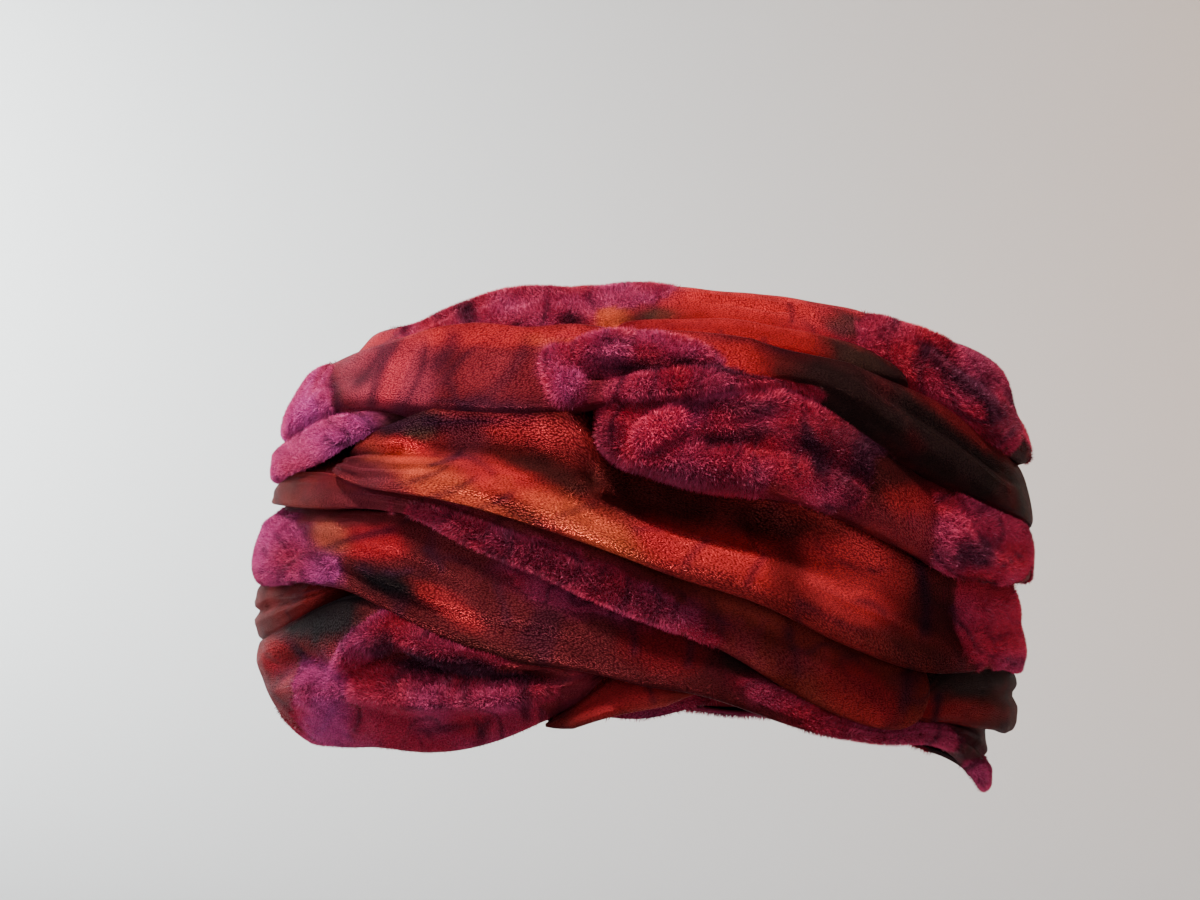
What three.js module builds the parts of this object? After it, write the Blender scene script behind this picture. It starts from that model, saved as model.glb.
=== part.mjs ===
// A draped turban hat: a soft crown with deep velvet folds wound round it.
// Millimetres, +Z up, the front faces -Y and the wearer's left is at +X.
// The origin is the middle of the head opening, level with the brow.
import * as THREE from 'three';

// Driving sizes
const headBreadth = 155; // the head inside, side to side
const headLength = 198; // the head inside, front to back
const headEase = 0.5; // room between head and crown, each side
const crownWall = 1.5;
const crownHeight = 104; // top of the crown above the brow line
const crownSeam = 68; // where the dome is joined to the side, behind the folds
const seamGap = 0.4;
const shoulderHeight = 20; // the crown is upright up to here and then rounds over
const domeSquareness = 3.2; // 2 is a round dome, higher is flatter on top
const foldWall = 1.1; // thickness of the draped cloth
const creaseGap = 0.7; // clear space between neighbouring folds
const crownGap = 0.9; // clear space between a fold and the crown
const sag = 0.24; // how far a fold drops for each millimetre that it stands out
const narrowestFold = 2.7; // a fold ends where it gets narrower than this
const endTaper = 5; // degrees over which a fold sinks to its end
const endShare = 0.3; // how much it still stands out there
const fullWidth = 10; // a fold narrower than this stands out less
const sideSquare = 1.5; // the folds lie flatter on the sides and the back by this much

// How far the drape stands out from the crown at each height, on the left and the right of the photo
const swell = [
  { height: -12, left: 3, right: 1 },
  { height: 4, left: 8, right: 3 },
  { height: 16, left: 12.5, right: 9 },
  { height: 30, left: 18, right: 10 },
  { height: 45, left: 18, right: 14 },
  { height: 60, left: 18.5, right: 16 },
  { height: 80, left: 19.5, right: 21 },
  { height: 88, left: 15, right: 16 },
  { height: 95, left: 11, right: 11 },
  { height: 104, left: 6, right: 6 },
];

// One row for each fold, from the top of the hat to its rim.
// starts and ends are azimuths a little beyond its ends: 0 is the front, 90 the right of the photo.
// ridge is where its face stands out furthest, from 0 at its upper edge to 1 at its lower lip.
// full scales how far it stands out, and square tells a round roll from a flat band.
// flatten replaces sideSquare for one fold.
const folds = [
  { name: 'top_fold', full: 0.98, ridge: 0.52, square: 2.8, colour: 0xb0285a },
  { name: 'leaf_fold', full: 0.95, ridge: 0.5, square: 2.5, colour: 0xc43a26, starts: -14, ends: 56 },
  { name: 'upper_roll', full: 1.03, ridge: 0.52, square: 2.8, colour: 0xa8333c },
  { name: 'rose_fold', full: 0.97, ridge: 0.6, square: 2.6, colour: 0x9c2450, starts: -18, ends: 338 },
  { name: 'sash', full: 1.0, ridge: 0.72, square: 2.4, colour: 0xd2622e, starts: -62, ends: 262 },
  { name: 'under_sash', full: 0.95, ridge: 0.66, square: 2.4, colour: 0x8e2034, starts: -112, ends: 44 },
  { name: 'right_roll', full: 1.0, ridge: 0.5, square: 2.5, colour: 0x7a1d1c, starts: 31, ends: 178 },
  { name: 'lower_sash', full: 0.97, ridge: 0.64, square: 2.5, colour: 0xa62c28 },
  { name: 'side_tuck', full: 0.92, ridge: 0.5, square: 2.6, colour: 0x7c2620, starts: 184, ends: 324 },
  {
    name: 'side_pouf', full: 1.0, ridge: 0.16, square: 1.6, colour: 0x9a2a56, starts: 181, ends: 359,
    flatten: 0,
  },
  { name: 'cross_strip', full: 0.9, ridge: 0.5, square: 2.4, colour: 0x98261f, starts: -20, ends: 12 },
];

// One row for each section round the hat. azimuth is in degrees, top is where the top fold leaves
// the crown, and each other column is the height of the lower crease of the fold that it names.
// A fold that isn't there has the same height as the one above it.
const sectionColumns = ['azimuth', 'top', ...folds.map((fold) => fold.name)];
const sections = [
  [-180, 98, 85, 85, 70, 54, 33, 33, 33, 5, 5, 5, 5],
  [-145, 98, 86, 86, 71, 58, 44, 44, 44, 24, 19, 3, 3],
  [-110, 97, 86, 86, 73, 66, 62, 61, 61, 45, 32, 2, 2],
  [-85, 96, 85, 85, 74, 67, 66, 62, 62, 47, 33, 2, 2],
  [-62, 94, 84, 84, 75, 67, 66, 60, 60, 46, 34, 5, 5],
  [-49, 94, 86, 86, 77, 68, 63, 57, 57, 45, 39, 6, 6],
  [-38, 96, 87, 87, 77, 71, 61, 57, 57, 44, 44, 5, 5],
  [-28, 98, 87, 87, 76, 76, 58, 54, 54, 36, 36, 6, 6],
  [-20, 99, 86, 86, 75, 75, 55, 49, 49, 31, 31, 10, 10],
  [-14, 99, 86, 86, 75, 74, 52, 46, 46, 29, 29, 14, 11],
  [-8, 99, 88, 85, 74, 69, 49, 42, 42, 28, 28, 21, 14],
  [-2, 98, 89, 84, 73, 64, 46, 38, 38, 25, 25, 25, 16],
  [4, 98, 89, 84, 73, 60, 42, 34, 34, 22, 22, 22, 18],
  [12, 97, 88, 82, 75, 58, 38, 28, 28, 18, 18, 18, 18],
  [22, 96, 86, 80, 76, 56, 33, 19, 19, 12, 12, 12, 12],
  [31, 95, 84, 78, 71, 52, 29, 13, 13, 10, 10, 10, 10],
  [37, 95, 82, 77, 67, 48, 27, 13, 13, 9, 9, 9, 9],
  [42, 95, 79, 76, 63, 46, 26, 26, 14, 9, 9, 9, 9],
  [55, 95, 70, 70, 59, 45, 26, 26, 13, 5, 5, 5, 5],
  [66, 95, 69, 69, 58, 46, 26, 26, 11, -3, -3, -3, -3],
  [78, 96, 69, 69, 57, 46, 25, 25, 10, -8, -8, -8, -8],
  [100, 97, 73, 73, 58, 46, 26, 26, 12, -5, -5, -5, -5],
  [140, 98, 81, 81, 65, 50, 30, 30, 25, 3, 3, 3, 3],
];

// Mesh fineness
const frontStep = 6; // degrees between sections where the folds cross
const backStep = 12;
const frontReach = 96; // the front runs from minus to plus this azimuth
const faceSteps = 7; // facets across a fold
const crownRings = 5; // of the dome
const wallRings = 4; // of the upright side
const crownStep = 10; // degrees

const crownA = headBreadth / 2 + headEase + crownWall; // outer half breadth
const crownB = headLength / 2 + headEase + crownWall; // outer half length
const radians = THREE.MathUtils.degToRad;
const clamp = THREE.MathUtils.clamp;

// Share of the crown's full breadth at a height, and its slope
function crownShare(height) {
  const rise = clamp((height - shoulderHeight) / (crownHeight - shoulderHeight), 0, 1);
  return (1 - rise ** domeSquareness) ** (1 / domeSquareness);
}

function crownSlope(height) {
  const rise = clamp((height - shoulderHeight) / (crownHeight - shoulderHeight), 0, 0.999);
  const left = (1 - rise ** domeSquareness) ** (1 / domeSquareness - 1);
  return (-(rise ** (domeSquareness - 1)) * left) / (crownHeight - shoulderHeight);
}

// The point that lies out millimetres from the crown, over the crown's point at an azimuth and height
function placeOnHat(azimuth, height, out) {
  const turn = radians(azimuth);
  const share = crownShare(height);
  const onCrown = new THREE.Vector3(
    crownA * share * Math.sin(turn),
    -crownB * share * Math.cos(turn),
    height,
  );
  const normal = new THREE.Vector3(
    Math.sin(turn) / crownA,
    -Math.cos(turn) / crownB,
    -crownSlope(height),
  ).normalize();
  const drop = sag * Math.max(0, out) * (1 - normal.z);
  return onCrown.addScaledVector(normal, out).add(new THREE.Vector3(0, 0, -drop));
}

// A smooth closed curve through the section table: uniform cubic B-spline, so creases never cross
function blendRows(place) {
  const count = sections.length;
  const row = Math.floor(place);
  const t = place - row;
  const weights = [
    (1 - t) ** 3 / 6,
    (3 * t ** 3 - 6 * t ** 2 + 4) / 6,
    (-3 * t ** 3 + 3 * t ** 2 + 3 * t + 1) / 6,
    t ** 3 / 6,
  ];
  return sectionColumns.map((_, column) =>
    weights.reduce((sum, weight, k) => {
      const index = row - 1 + k;
      const turns = Math.floor(index / count);
      const value = sections[index - turns * count][column];
      return sum + weight * (column === 0 ? value + 360 * turns : value);
    }, 0),
  );
}

// Heights of all creases at an azimuth
function creasesAt(azimuth) {
  const wrapped = ((((azimuth + 180) % 360) + 360) % 360) - 180;
  let low = -1;
  let high = sections.length + 1;
  for (let i = 0; i < 40; i += 1) {
    const middle = (low + high) / 2;
    if (blendRows(middle)[0] < wrapped) low = middle;
    else high = middle;
  }
  return blendRows(low).slice(1);
}

function swellAt(azimuth, height) {
  const above = clamp(
    swell.findIndex((row) => row.height > height),
    1,
    swell.length - 1,
  );
  const lower = swell[above - 1];
  const upper = swell[above];
  const t = clamp((height - lower.height) / (upper.height - lower.height), 0, 1);
  const side = 0.5 + 0.5 * Math.sin(radians(azimuth));
  const out = (row) => THREE.MathUtils.lerp(row.left, row.right, side);
  return THREE.MathUtils.lerp(out(lower), out(upper), t);
}

// Azimuths of the sections, closer together at the front
function azimuthsBetween(starts, ends) {
  const found = [];
  for (let azimuth = starts; azimuth < ends - 0.01; ) {
    found.push(azimuth);
    const wrapped = ((((azimuth + 180) % 360) + 360) % 360) - 180;
    const nearFront = wrapped >= -frontReach && wrapped < frontReach;
    azimuth += nearFront ? frontStep : backStep;
  }
  return found;
}

// The upper and lower edge of a fold at an azimuth
function foldEdges(index, azimuth) {
  const creases = creasesAt(azimuth);
  return { top: creases[index] - creaseGap / 2, foot: creases[index + 1] + creaseGap / 2 };
}

// The azimuth where a fold has become as narrow as it can be
function foldEnd(index, outside, inside) {
  let low = outside;
  let high = inside;
  for (let i = 0; i < 20; i += 1) {
    const middle = (low + high) / 2;
    const { top, foot } = foldEdges(index, middle);
    if (top - foot < narrowestFold) low = middle;
    else high = middle;
  }
  return high;
}

// The arched section of a fold: points of its outer face and, wall by wall, of its inner face
function foldSection(fold, index, azimuth, rise) {
  const { top, foot } = foldEdges(index, azimuth);
  const ridgeHeight = THREE.MathUtils.lerp(top, foot, fold.ridge);
  const slim = clamp((top - foot) / fullWidth, 0, 1) ** 0.3;
  const puff = fold.full * swellAt(azimuth, ridgeHeight) * slim * rise;
  const lean = Math.log(0.5) / Math.log(fold.ridge);
  const aside = THREE.MathUtils.smoothstep(-Math.cos(radians(azimuth)), -0.65, 0);
  const square = fold.square + (fold.flatten ?? sideSquare) * aside;
  const arch = (inset) =>
    Array.from({ length: faceSteps + 1 }, (_, i) => {
      const turn = (Math.PI * i) / faceSteps;
      const across = Math.sign(Math.cos(turn)) * Math.abs(Math.cos(turn)) ** (2 / square);
      const share = ((1 - across) / 2) ** (1 / lean);
      const out = Math.max(0, Math.sin(turn)) ** (2 / square);
      const height = THREE.MathUtils.lerp(top - inset, foot + inset, share);
      return placeOnHat(azimuth, height, crownGap + (puff - inset) * out);
    });
  return { outer: arch(0), inner: arch(foldWall) };
}

// A wall between outer and inner faces, closed round the hat or capped at both ends
function loftWall(walls, goesRound) {
  const faces = walls[0].outer.length;
  const ring = 2 * faces;
  const positions = walls.flatMap(({ outer, inner }) =>
    [...outer, ...inner.toReversed()].flatMap((point) => point.toArray()),
  );
  const triangles = [];
  const quad = (a, b, c, d) => triangles.push(a, b, c, a, c, d);
  const spans = goesRound ? walls.length : walls.length - 1;
  for (let i = 0; i < spans; i += 1) {
    const here = i * ring;
    const next = ((i + 1) % walls.length) * ring;
    for (let j = 0; j < ring; j += 1) {
      const k = (j + 1) % ring;
      quad(here + j, here + k, next + k, next + j);
    }
  }
  if (!goesRound) {
    const last = (walls.length - 1) * ring;
    for (let j = 0; j < faces - 1; j += 1) {
      const back = ring - 1 - j;
      quad(j, back, back - 1, j + 1);
      quad(last + j, last + j + 1, last + back - 1, last + back);
    }
  }
  return solidGeometry(positions, triangles);
}

// A geometry whose faces point outwards
function solidGeometry(positions, triangles) {
  const point = (index) => new THREE.Vector3().fromArray(positions, 3 * index);
  let volume = 0;
  for (let i = 0; i < triangles.length; i += 3) {
    const [a, b, c] = [0, 1, 2].map((k) => point(triangles[i + k]));
    volume += a.dot(b.cross(c));
  }
  const geometry = new THREE.BufferGeometry();
  geometry.setAttribute('position', new THREE.Float32BufferAttribute(positions, 3));
  geometry.setIndex(volume > 0 ? triangles : triangles.toReversed());
  geometry.computeVertexNormals();
  return geometry;
}

function cloth(colour) {
  return new THREE.MeshStandardMaterial({ color: colour, roughness: 0.7, metalness: 0 });
}

// The sections of a fold: evenly spaced, and closer where it sinks to an end
function foldWalls(fold, index) {
  if (fold.starts === undefined) {
    return azimuthsBetween(-180, 180).map((azimuth) => foldSection(fold, index, azimuth, 1));
  }
  const wide = azimuthsBetween(fold.starts, fold.ends).filter((azimuth) => {
    const { top, foot } = foldEdges(index, azimuth);
    return top - foot > narrowestFold;
  });
  const first = foldEnd(index, fold.starts, wide[0]);
  const last = foldEnd(index, fold.ends, wide.at(-1));
  const between = azimuthsBetween(first + endTaper, last - endTaper - 1);
  const middle = endTaper * 0.35;
  const azimuths = [first, first + middle, ...between, last - endTaper, last - middle, last];
  return azimuths.map((azimuth) => {
    const inside = clamp(Math.min(azimuth - first, last - azimuth) / endTaper, 0, 1);
    const rise = endShare + (1 - endShare) * Math.sqrt(inside * (2 - inside));
    return foldSection(fold, index, azimuth, rise);
  });
}

function makeFold(fold, index) {
  const mesh = new THREE.Mesh(
    loftWall(foldWalls(fold, index), fold.starts === undefined),
    cloth(fold.colour),
  );
  mesh.name = fold.name;
  return mesh;
}

// Azimuths of the crown's sections
function crownAzimuths() {
  return Array.from({ length: Math.round(360 / crownStep) }, (_, i) => -180 + i * crownStep);
}

// The upright side of the crown, whose hem follows the rim of the drape
function makeCrownSide() {
  const hemRise = 3; // the hem lies this far above the lowest crease
  const frontDrop = 6; // and shows below it where the drape is cut away at the front
  const walls = crownAzimuths().map((azimuth) => {
    const shown = Math.exp(-(((azimuth - 1) / 11) ** 2));
    const hem = creasesAt(azimuth).at(-1) + hemRise - frontDrop * shown;
    const side = (depth) =>
      Array.from({ length: wallRings }, (_, i) => {
        const height = THREE.MathUtils.lerp(crownSeam - seamGap, hem, i / (wallRings - 1));
        return placeOnHat(azimuth, height, depth);
      });
    return { outer: side(0), inner: side(-crownWall) };
  });
  const mesh = new THREE.Mesh(loftWall(walls, true), cloth(0x8f2230));
  mesh.name = 'crown_side';
  return mesh;
}

// The dome of the crown
function makeCrownTop() {
  const azimuths = crownAzimuths();
  const positions = [];
  for (const depth of [0, -crownWall]) {
    for (let ring = 0; ring < crownRings; ring += 1) {
      const rise = Math.sin((Math.PI / 2) * (ring / crownRings));
      const height = THREE.MathUtils.lerp(crownSeam, crownHeight, rise);
      azimuths.forEach((azimuth) => positions.push(...placeOnHat(azimuth, height, depth).toArray()));
    }
  }
  const tip = positions.length / 3;
  positions.push(0, 0, crownHeight, 0, 0, crownHeight - crownWall);
  const triangles = [];
  const count = azimuths.length;
  const inner = crownRings * count; // first point of the inner face
  const strip = (lower, upper) => {
    for (let i = 0; i < count; i += 1) {
      const j = (i + 1) % count;
      triangles.push(lower + i, lower + j, upper + j, lower + i, upper + j, upper + i);
    }
  };
  for (let ring = 0; ring < crownRings - 1; ring += 1) {
    strip(ring * count, (ring + 1) * count);
    strip(inner + (ring + 1) * count, inner + ring * count);
  }
  strip(inner, 0);
  const last = (crownRings - 1) * count;
  for (let i = 0; i < count; i += 1) {
    const j = (i + 1) % count;
    triangles.push(last + i, last + j, tip);
    triangles.push(inner + last + j, inner + last + i, tip + 1);
  }
  const mesh = new THREE.Mesh(solidGeometry(positions, triangles), cloth(0x8f2230));
  mesh.name = 'crown_top';
  return mesh;
}

const hat = new THREE.Group();
hat.add(makeCrownTop(), makeCrownSide(), ...folds.map(makeFold));

export default hat;
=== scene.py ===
import math
import bpy
import numpy as np
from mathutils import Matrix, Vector


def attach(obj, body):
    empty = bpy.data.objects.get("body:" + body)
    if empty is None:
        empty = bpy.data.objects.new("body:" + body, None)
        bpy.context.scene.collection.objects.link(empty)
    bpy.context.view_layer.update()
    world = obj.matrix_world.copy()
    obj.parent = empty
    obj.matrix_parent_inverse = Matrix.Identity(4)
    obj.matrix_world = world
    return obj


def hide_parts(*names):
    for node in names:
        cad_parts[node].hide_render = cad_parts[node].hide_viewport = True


# Draped turban hat: folds of figured velvet round a soft crown. Tables are in millimetres and degrees.
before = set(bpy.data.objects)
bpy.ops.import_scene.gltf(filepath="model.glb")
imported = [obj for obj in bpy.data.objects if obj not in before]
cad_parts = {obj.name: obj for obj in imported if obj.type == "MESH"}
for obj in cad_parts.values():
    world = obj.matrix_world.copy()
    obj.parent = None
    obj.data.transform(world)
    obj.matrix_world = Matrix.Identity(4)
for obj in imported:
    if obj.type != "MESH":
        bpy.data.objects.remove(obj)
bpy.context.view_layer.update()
mm = 0.001

hat = {
    "crownA": 79.5,  # outer half breadth of the crown
    "crownB": 101.0,  # outer half length
    "crownWall": 1.5,
    "crownHeight": 104.0,
    "shoulder": 20.0,  # the crown rounds over above this
    "dome": 3.2,
    "foldWall": 1.1,
    "creaseGap": 0.7,
    "crownGap": 0.9,
    "sag": 0.24,
    "wander": 0.8,  # of the creases, up and down
    "narrowest": 1.9,  # a fold ends where it is no taller than this
    "endTaper": 5.0,
    "fullWidth": 6.5,  # a fold less tall than this stands out less
    "sideSquare": 0.4,
    "sideTurn": (28, 70),  # azimuths where the front gives way to the sides
    "sideFloor": 0.66,  # the creases are shallow there and at the back
    "curlFloor": 0.93,  # and where the curl runs into the rose
    "curlAt": 4.0,
    "curlWide": 18.0,
    "tuck": 4.5,  # a fold runs on behind the one above it
    "tuckDepth": 4.0,
    "lap": 1.8,  # and its lip hangs over the one below
    "hemRise": 3.0,
    "frontDrop": 6.0,
    "runRadius": 104.0,  # lengths along a fold are taken here, and on the crown at the next
    "crownRunRadius": 70.0,
    "usualHeight": 15.0,  # of a fold, for its pattern and the spacing of its points
    "usualSwell": 17.0,
    "usualArch": 38.0,  # its width round the arch
    "patternStep": 31.0,  # the pattern moves on by this from fold to fold
}


def rowsOf(columns, table):
    return [dict(zip(columns, row)) for row in table]


def rowsOn(rows, name):
    return [row for row in rows if row["fold"] == name]


# how far the drape stands out at each height: left and right of the photo
swellHeight = [-12, 4, 16, 30, 45, 60, 80, 88, 95, 104]
swellLeft = [3, 7, 11.5, 17.5, 18, 18, 18, 14.5, 11, 6]
swellRight = [1, 3, 8.5, 9, 12.5, 15, 20, 15.5, 11, 6]

# a row for each fold, top to rim; above and below its ridge the numbers tell a flat band from a round roll;
# floor is how far out the bottom of its lower crease lies at the front, as a share of the swell
foldColumns = [
    "name", "full", "ridge", "square", "above", "below", "floor", "wrinkle", "slot", "span", "cut",
]
foldTable = [
    ["top_fold", 0.98, 0.52, 2.8, 2.6, 3.2, 0.62, 0.5, "velvet", None, (0.037, 0.53)],
    ["leaf_fold", 0.95, 0.56, 2.5, 2.2, 4.0, 0.56, 0.3, "satin", (-14, 56), (0.013, 0.13)],
    ["upper_roll", 1.03, 0.52, 2.8, 5.5, 5.5, 0.4, 0.35, "satin", None, (0.036, 0.58)],
    ["rose_fold", 0.99, 0.6, 2.6, 2.6, 4.0, 0.42, 0.5, "velvet", (-18, 338), (0.03, 0.57)],
    ["sash", 1.05, 0.85, 2.4, 1.75, 7.0, 0.55, 0.6, "satin", (-62, 262), (0.034, 0.52)],
    ["under_sash", 0.94, 0.7, 2.4, 3.0, 7.0, 0.84, 0.35, "satin", (-112, 44), (0.018, 0.27)],
    ["right_roll", 1.0, 0.5, 2.5, 2.6, 3.6, 0.5, 0.4, "satin", (31, 178), (0.018, 0.24)],
    ["lower_sash", 0.96, 0.7, 2.5, 3.0, 6.0, 0.45, 0.45, "satin", None, (0.032, 0.58)],
    ["side_tuck", 0.92, 0.5, 2.6, 2.4, 3.4, 0.5, 0.4, "satin", (184, 324), (0.02, 0.24)],
    ["side_pouf", 1.0, 0.16, 1.6, 1.6, 1.6, 0.4, 0.6, "velvet", (181, 359), (0.042, 0.28)],
    ["cross_strip", 0.9, 0.5, 2.4, 2.2, 3.0, 0.3, 0.25, "satin", (-20, 12), (0.014, 0.047)],
]
folds = rowsOf(foldColumns, foldTable)
foldNames = [fold["name"] for fold in folds]

# ends of a fold: degrees that stay sunk at its start, and the shares of its height and swell that it keeps
plainEnds = {"sunk": 0.0, "tall": 0.35, "full": 0.3}
foldEnds = {
    "rose_fold": {"sunk": 1.5, "tall": 0.8, "full": 0.72},
    "sash": {"full": 0.8},
    "cross_strip": {"tall": 0.05},
}

# where the crease below a fold is shallow: its floor, then the azimuths where that begins and is
# reached, and where it ends and still holds
shallowColumns = ["fold", "floor", "begins", "reached", "ends", "holds"]
shallowRows = rowsOf(shallowColumns, [
    ["top_fold", 0.76, 40, 60, 120, 100],  # the right shoulder is even
    ["leaf_fold", 0.76, 40, 60, 120, 100],
    ["upper_roll", 0.76, 40, 60, 120, 100],
    ["rose_fold", 0.84, -3, -10, -80, -62],  # left of the rose the sash stands out from under the roll
    ["rose_fold", 0.93, 8, 18, 105, 85],
    ["sash", 0.88, -42, -50, -86, -68],  # its tip runs into the fold below
])

# a row for each section: azimuth, top edge of the top fold, then the lower crease of each fold in order
sections = np.array([
    [-180, 98, 85, 85, 70, 54, 33, 33, 33, 5, 5, 5, 5],
    [-145, 98, 86, 86, 71, 58, 44, 44, 44, 24, 19, 3, 3],
    [-110, 97, 86, 86, 73, 66, 62, 61, 61, 45, 32, 2, 2],
    [-85, 96, 85, 85, 74, 67, 66, 62, 62, 47, 33, 2, 2],
    [-62, 94, 84, 84, 75, 66, 66, 60, 60, 46, 34, 5, 5],
    [-49, 94, 85, 85, 76, 66.5, 64, 57.5, 57, 45, 39, 6, 6],
    [-38, 96, 85, 85, 74.5, 71, 62, 57.5, 57, 44, 44, 5, 5],
    [-28, 97, 85, 85, 73, 73, 60, 55.5, 55.5, 36, 36, 6, 6],
    [-20, 98, 85, 85, 72.5, 72.5, 58, 51, 51, 31, 31, 10, 10],
    [-14, 98, 85.5, 85.5, 72.5, 72.5, 55.3, 48, 48, 29, 29, 14, 11],
    [-10, 98, 87.5, 85.5, 72.5, 72.5, 53.3, 45.5, 45.5, 28.5, 28.5, 18.5, 13],
    [-6, 98, 88.5, 84.5, 72.5, 64.5, 51.3, 42.5, 42.5, 27, 27, 22.5, 15],
    [-2, 98, 89, 84, 73, 64, 49.2, 40, 40, 25, 25, 25, 16],
    [4, 98, 89, 84, 73, 61, 45.6, 36, 36, 22, 22, 22, 18],
    [12, 97, 88, 82, 75, 59, 41.4, 29, 29, 18, 18, 18, 18],
    [22, 96, 86, 80, 76, 57, 34.5, 19, 19, 12, 12, 12, 12],
    [31, 95, 84, 78, 71, 52, 29, 13, 13, 10, 10, 10, 10],
    [37, 94, 82, 77, 67, 48, 27, 13, 13, 9, 9, 9, 9],
    [42, 92, 79, 76, 63, 46, 26, 26, 14, 9, 9, 9, 9],
    [55, 89, 70, 70, 59, 45, 26, 26, 13, 5, 5, 5, 5],
    [66, 88, 69, 69, 58, 46, 26, 26, 11, -3, -3, -3, -3],
    [78, 91, 69, 69, 57, 46, 25, 25, 10, -8, -8, -8, -8],
    [100, 95, 73, 73, 58, 46, 26, 26, 12, -5, -5, -5, -5],
    [140, 98, 81, 81, 65, 50, 30, 30, 25, 3, 3, 3, 3],
], dtype=float)

camera = {
    "distance": 520.0,
    "height": 38.0,
    "frame": (1200, 900),  # pixels, as are the next three
    "focal": 2064.0,
    "axisPixel": 650.0,
    "horizonPixel": 600.0,
    "sensor": 36.0,
}


# numbers and noise
def smooth(low, high, value):
    t = np.clip((value - low) / (high - low), 0, 1)
    return t * t * (3 - 2 * t)


def cellHash(i, j, k, seed):
    h = (i * 374761393 + j * 668265263 + k * 1274126177 + seed * 362437) & 0xFFFFFFFF
    h = ((h ^ (h >> 13)) * 1103515245) & 0xFFFFFFFF
    h = ((h ^ (h >> 15)) * 668265263) & 0xFFFFFFFF
    return ((h ^ (h >> 16)) & 0xFFFFFF) / 0xFFFFFF


def noise(x, y, z, seed=0):
    x, y, z = np.broadcast_arrays(np.asarray(x, float), y, z)
    i, j, k = (np.floor(v).astype(np.int64) for v in (x, y, z))
    fx, fy, fz = x - i, y - j, z - k
    fx, fy, fz = (f * f * f * (f * (f * 6 - 15) + 10) for f in (fx, fy, fz))
    total = np.zeros(x.shape)
    for a in (0, 1):
        for b in (0, 1):
            for c in (0, 1):
                weight = (fx if a else 1 - fx) * (fy if b else 1 - fy) * (fz if c else 1 - fz)
                total += weight * cellHash(i + a, j + b, k + c, seed)
    return 2 * total - 1


def noiseAt(points, wide, deep, tall, seed):
    return noise(points[..., 0] / wide, points[..., 1] / deep, points[..., 2] / tall, seed)


def cells(x, y, seed):  # nearest and second nearest point of a jittered grid, and a number for the cell
    i, j = np.floor(x).astype(np.int64), np.floor(y).astype(np.int64)
    first = np.full(x.shape, 9.0)
    second = np.full(x.shape, 9.0)
    tag = np.zeros(x.shape)
    for a in (-1, 0, 1):
        for b in (-1, 0, 1):
            px = i + a + 0.15 + 0.7 * cellHash(i + a, j + b, 1, seed)
            py = j + b + 0.15 + 0.7 * cellHash(i + a, j + b, 2, seed)
            d = np.hypot(x - px, y - py)
            closer = d < first
            second = np.where(closer, first, np.minimum(second, d))
            tag = np.where(closer, cellHash(i + a, j + b, 3, seed), tag)
            first = np.where(closer, d, first)
    return first, second, tag


def mix(a, b, t):
    t = np.asarray(t)[..., None]
    return a * (1 - t) + b * t


# the hat's own surface
def crownShare(height):
    rise = np.clip((height - hat["shoulder"]) / (hat["crownHeight"] - hat["shoulder"]), 0, 1)
    return (1 - rise ** hat["dome"]) ** (1 / hat["dome"])


def crownSlope(height):
    span = hat["crownHeight"] - hat["shoulder"]
    rise = np.clip((height - hat["shoulder"]) / span, 0, 0.999)
    return -(rise ** (hat["dome"] - 1)) * (1 - rise ** hat["dome"]) ** (1 / hat["dome"] - 1) / span


def placeOnHat(azimuth, height, out):
    turn = np.radians(azimuth)
    share = crownShare(height)
    a, b = hat["crownA"], hat["crownB"]
    base = np.stack(np.broadcast_arrays(a * share * np.sin(turn), -b * share * np.cos(turn), height), -1)
    normal = np.stack(np.broadcast_arrays(np.sin(turn) / a, -np.cos(turn) / b, -crownSlope(height)), -1)
    normal = normal / np.linalg.norm(normal, axis=-1, keepdims=True)
    point = base + normal * np.asarray(out)[..., None]
    point[..., 2] -= hat["sag"] * np.maximum(0, out) * (1 - normal[..., 2])
    return point


def splineRows(place):
    count = len(sections)
    row = np.floor(place).astype(int)
    t = place - row
    weights = [(1 - t) ** 3, 3 * t**3 - 6 * t**2 + 4, -3 * t**3 + 3 * t**2 + 3 * t + 1, t**3]  # in sixths
    total = np.zeros((len(place), sections.shape[1]))
    for k, weight in enumerate(weights):
        index = row - 1 + k
        values = sections[index % count].copy()
        values[:, 0] += 360 * (index // count)
        total += weight[:, None] / 6 * values
    return total


denseRows = np.linspace(-2, len(sections) + 2, 4001)
denseAzimuth = splineRows(denseRows)[:, 0]


def wrap(azimuth):
    return (np.asarray(azimuth, float) + 180) % 360 - 180


def creasesAt(azimuth):
    wrapped = wrap(azimuth)
    heights = splineRows(np.interp(wrapped, denseAzimuth, denseRows))[:, 1:]
    turn = np.radians(wrapped)[:, None]
    return heights + hat["wander"] * noise(4 * np.sin(turn), 4 * np.cos(turn), heights / 22, 5)


def swellAt(azimuth, height):
    side = 0.5 + 0.5 * np.sin(np.radians(azimuth))
    left, right = (np.interp(height, swellHeight, swell) for swell in (swellLeft, swellRight))
    return left * (1 - side) + right * side


print("tables read")

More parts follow.
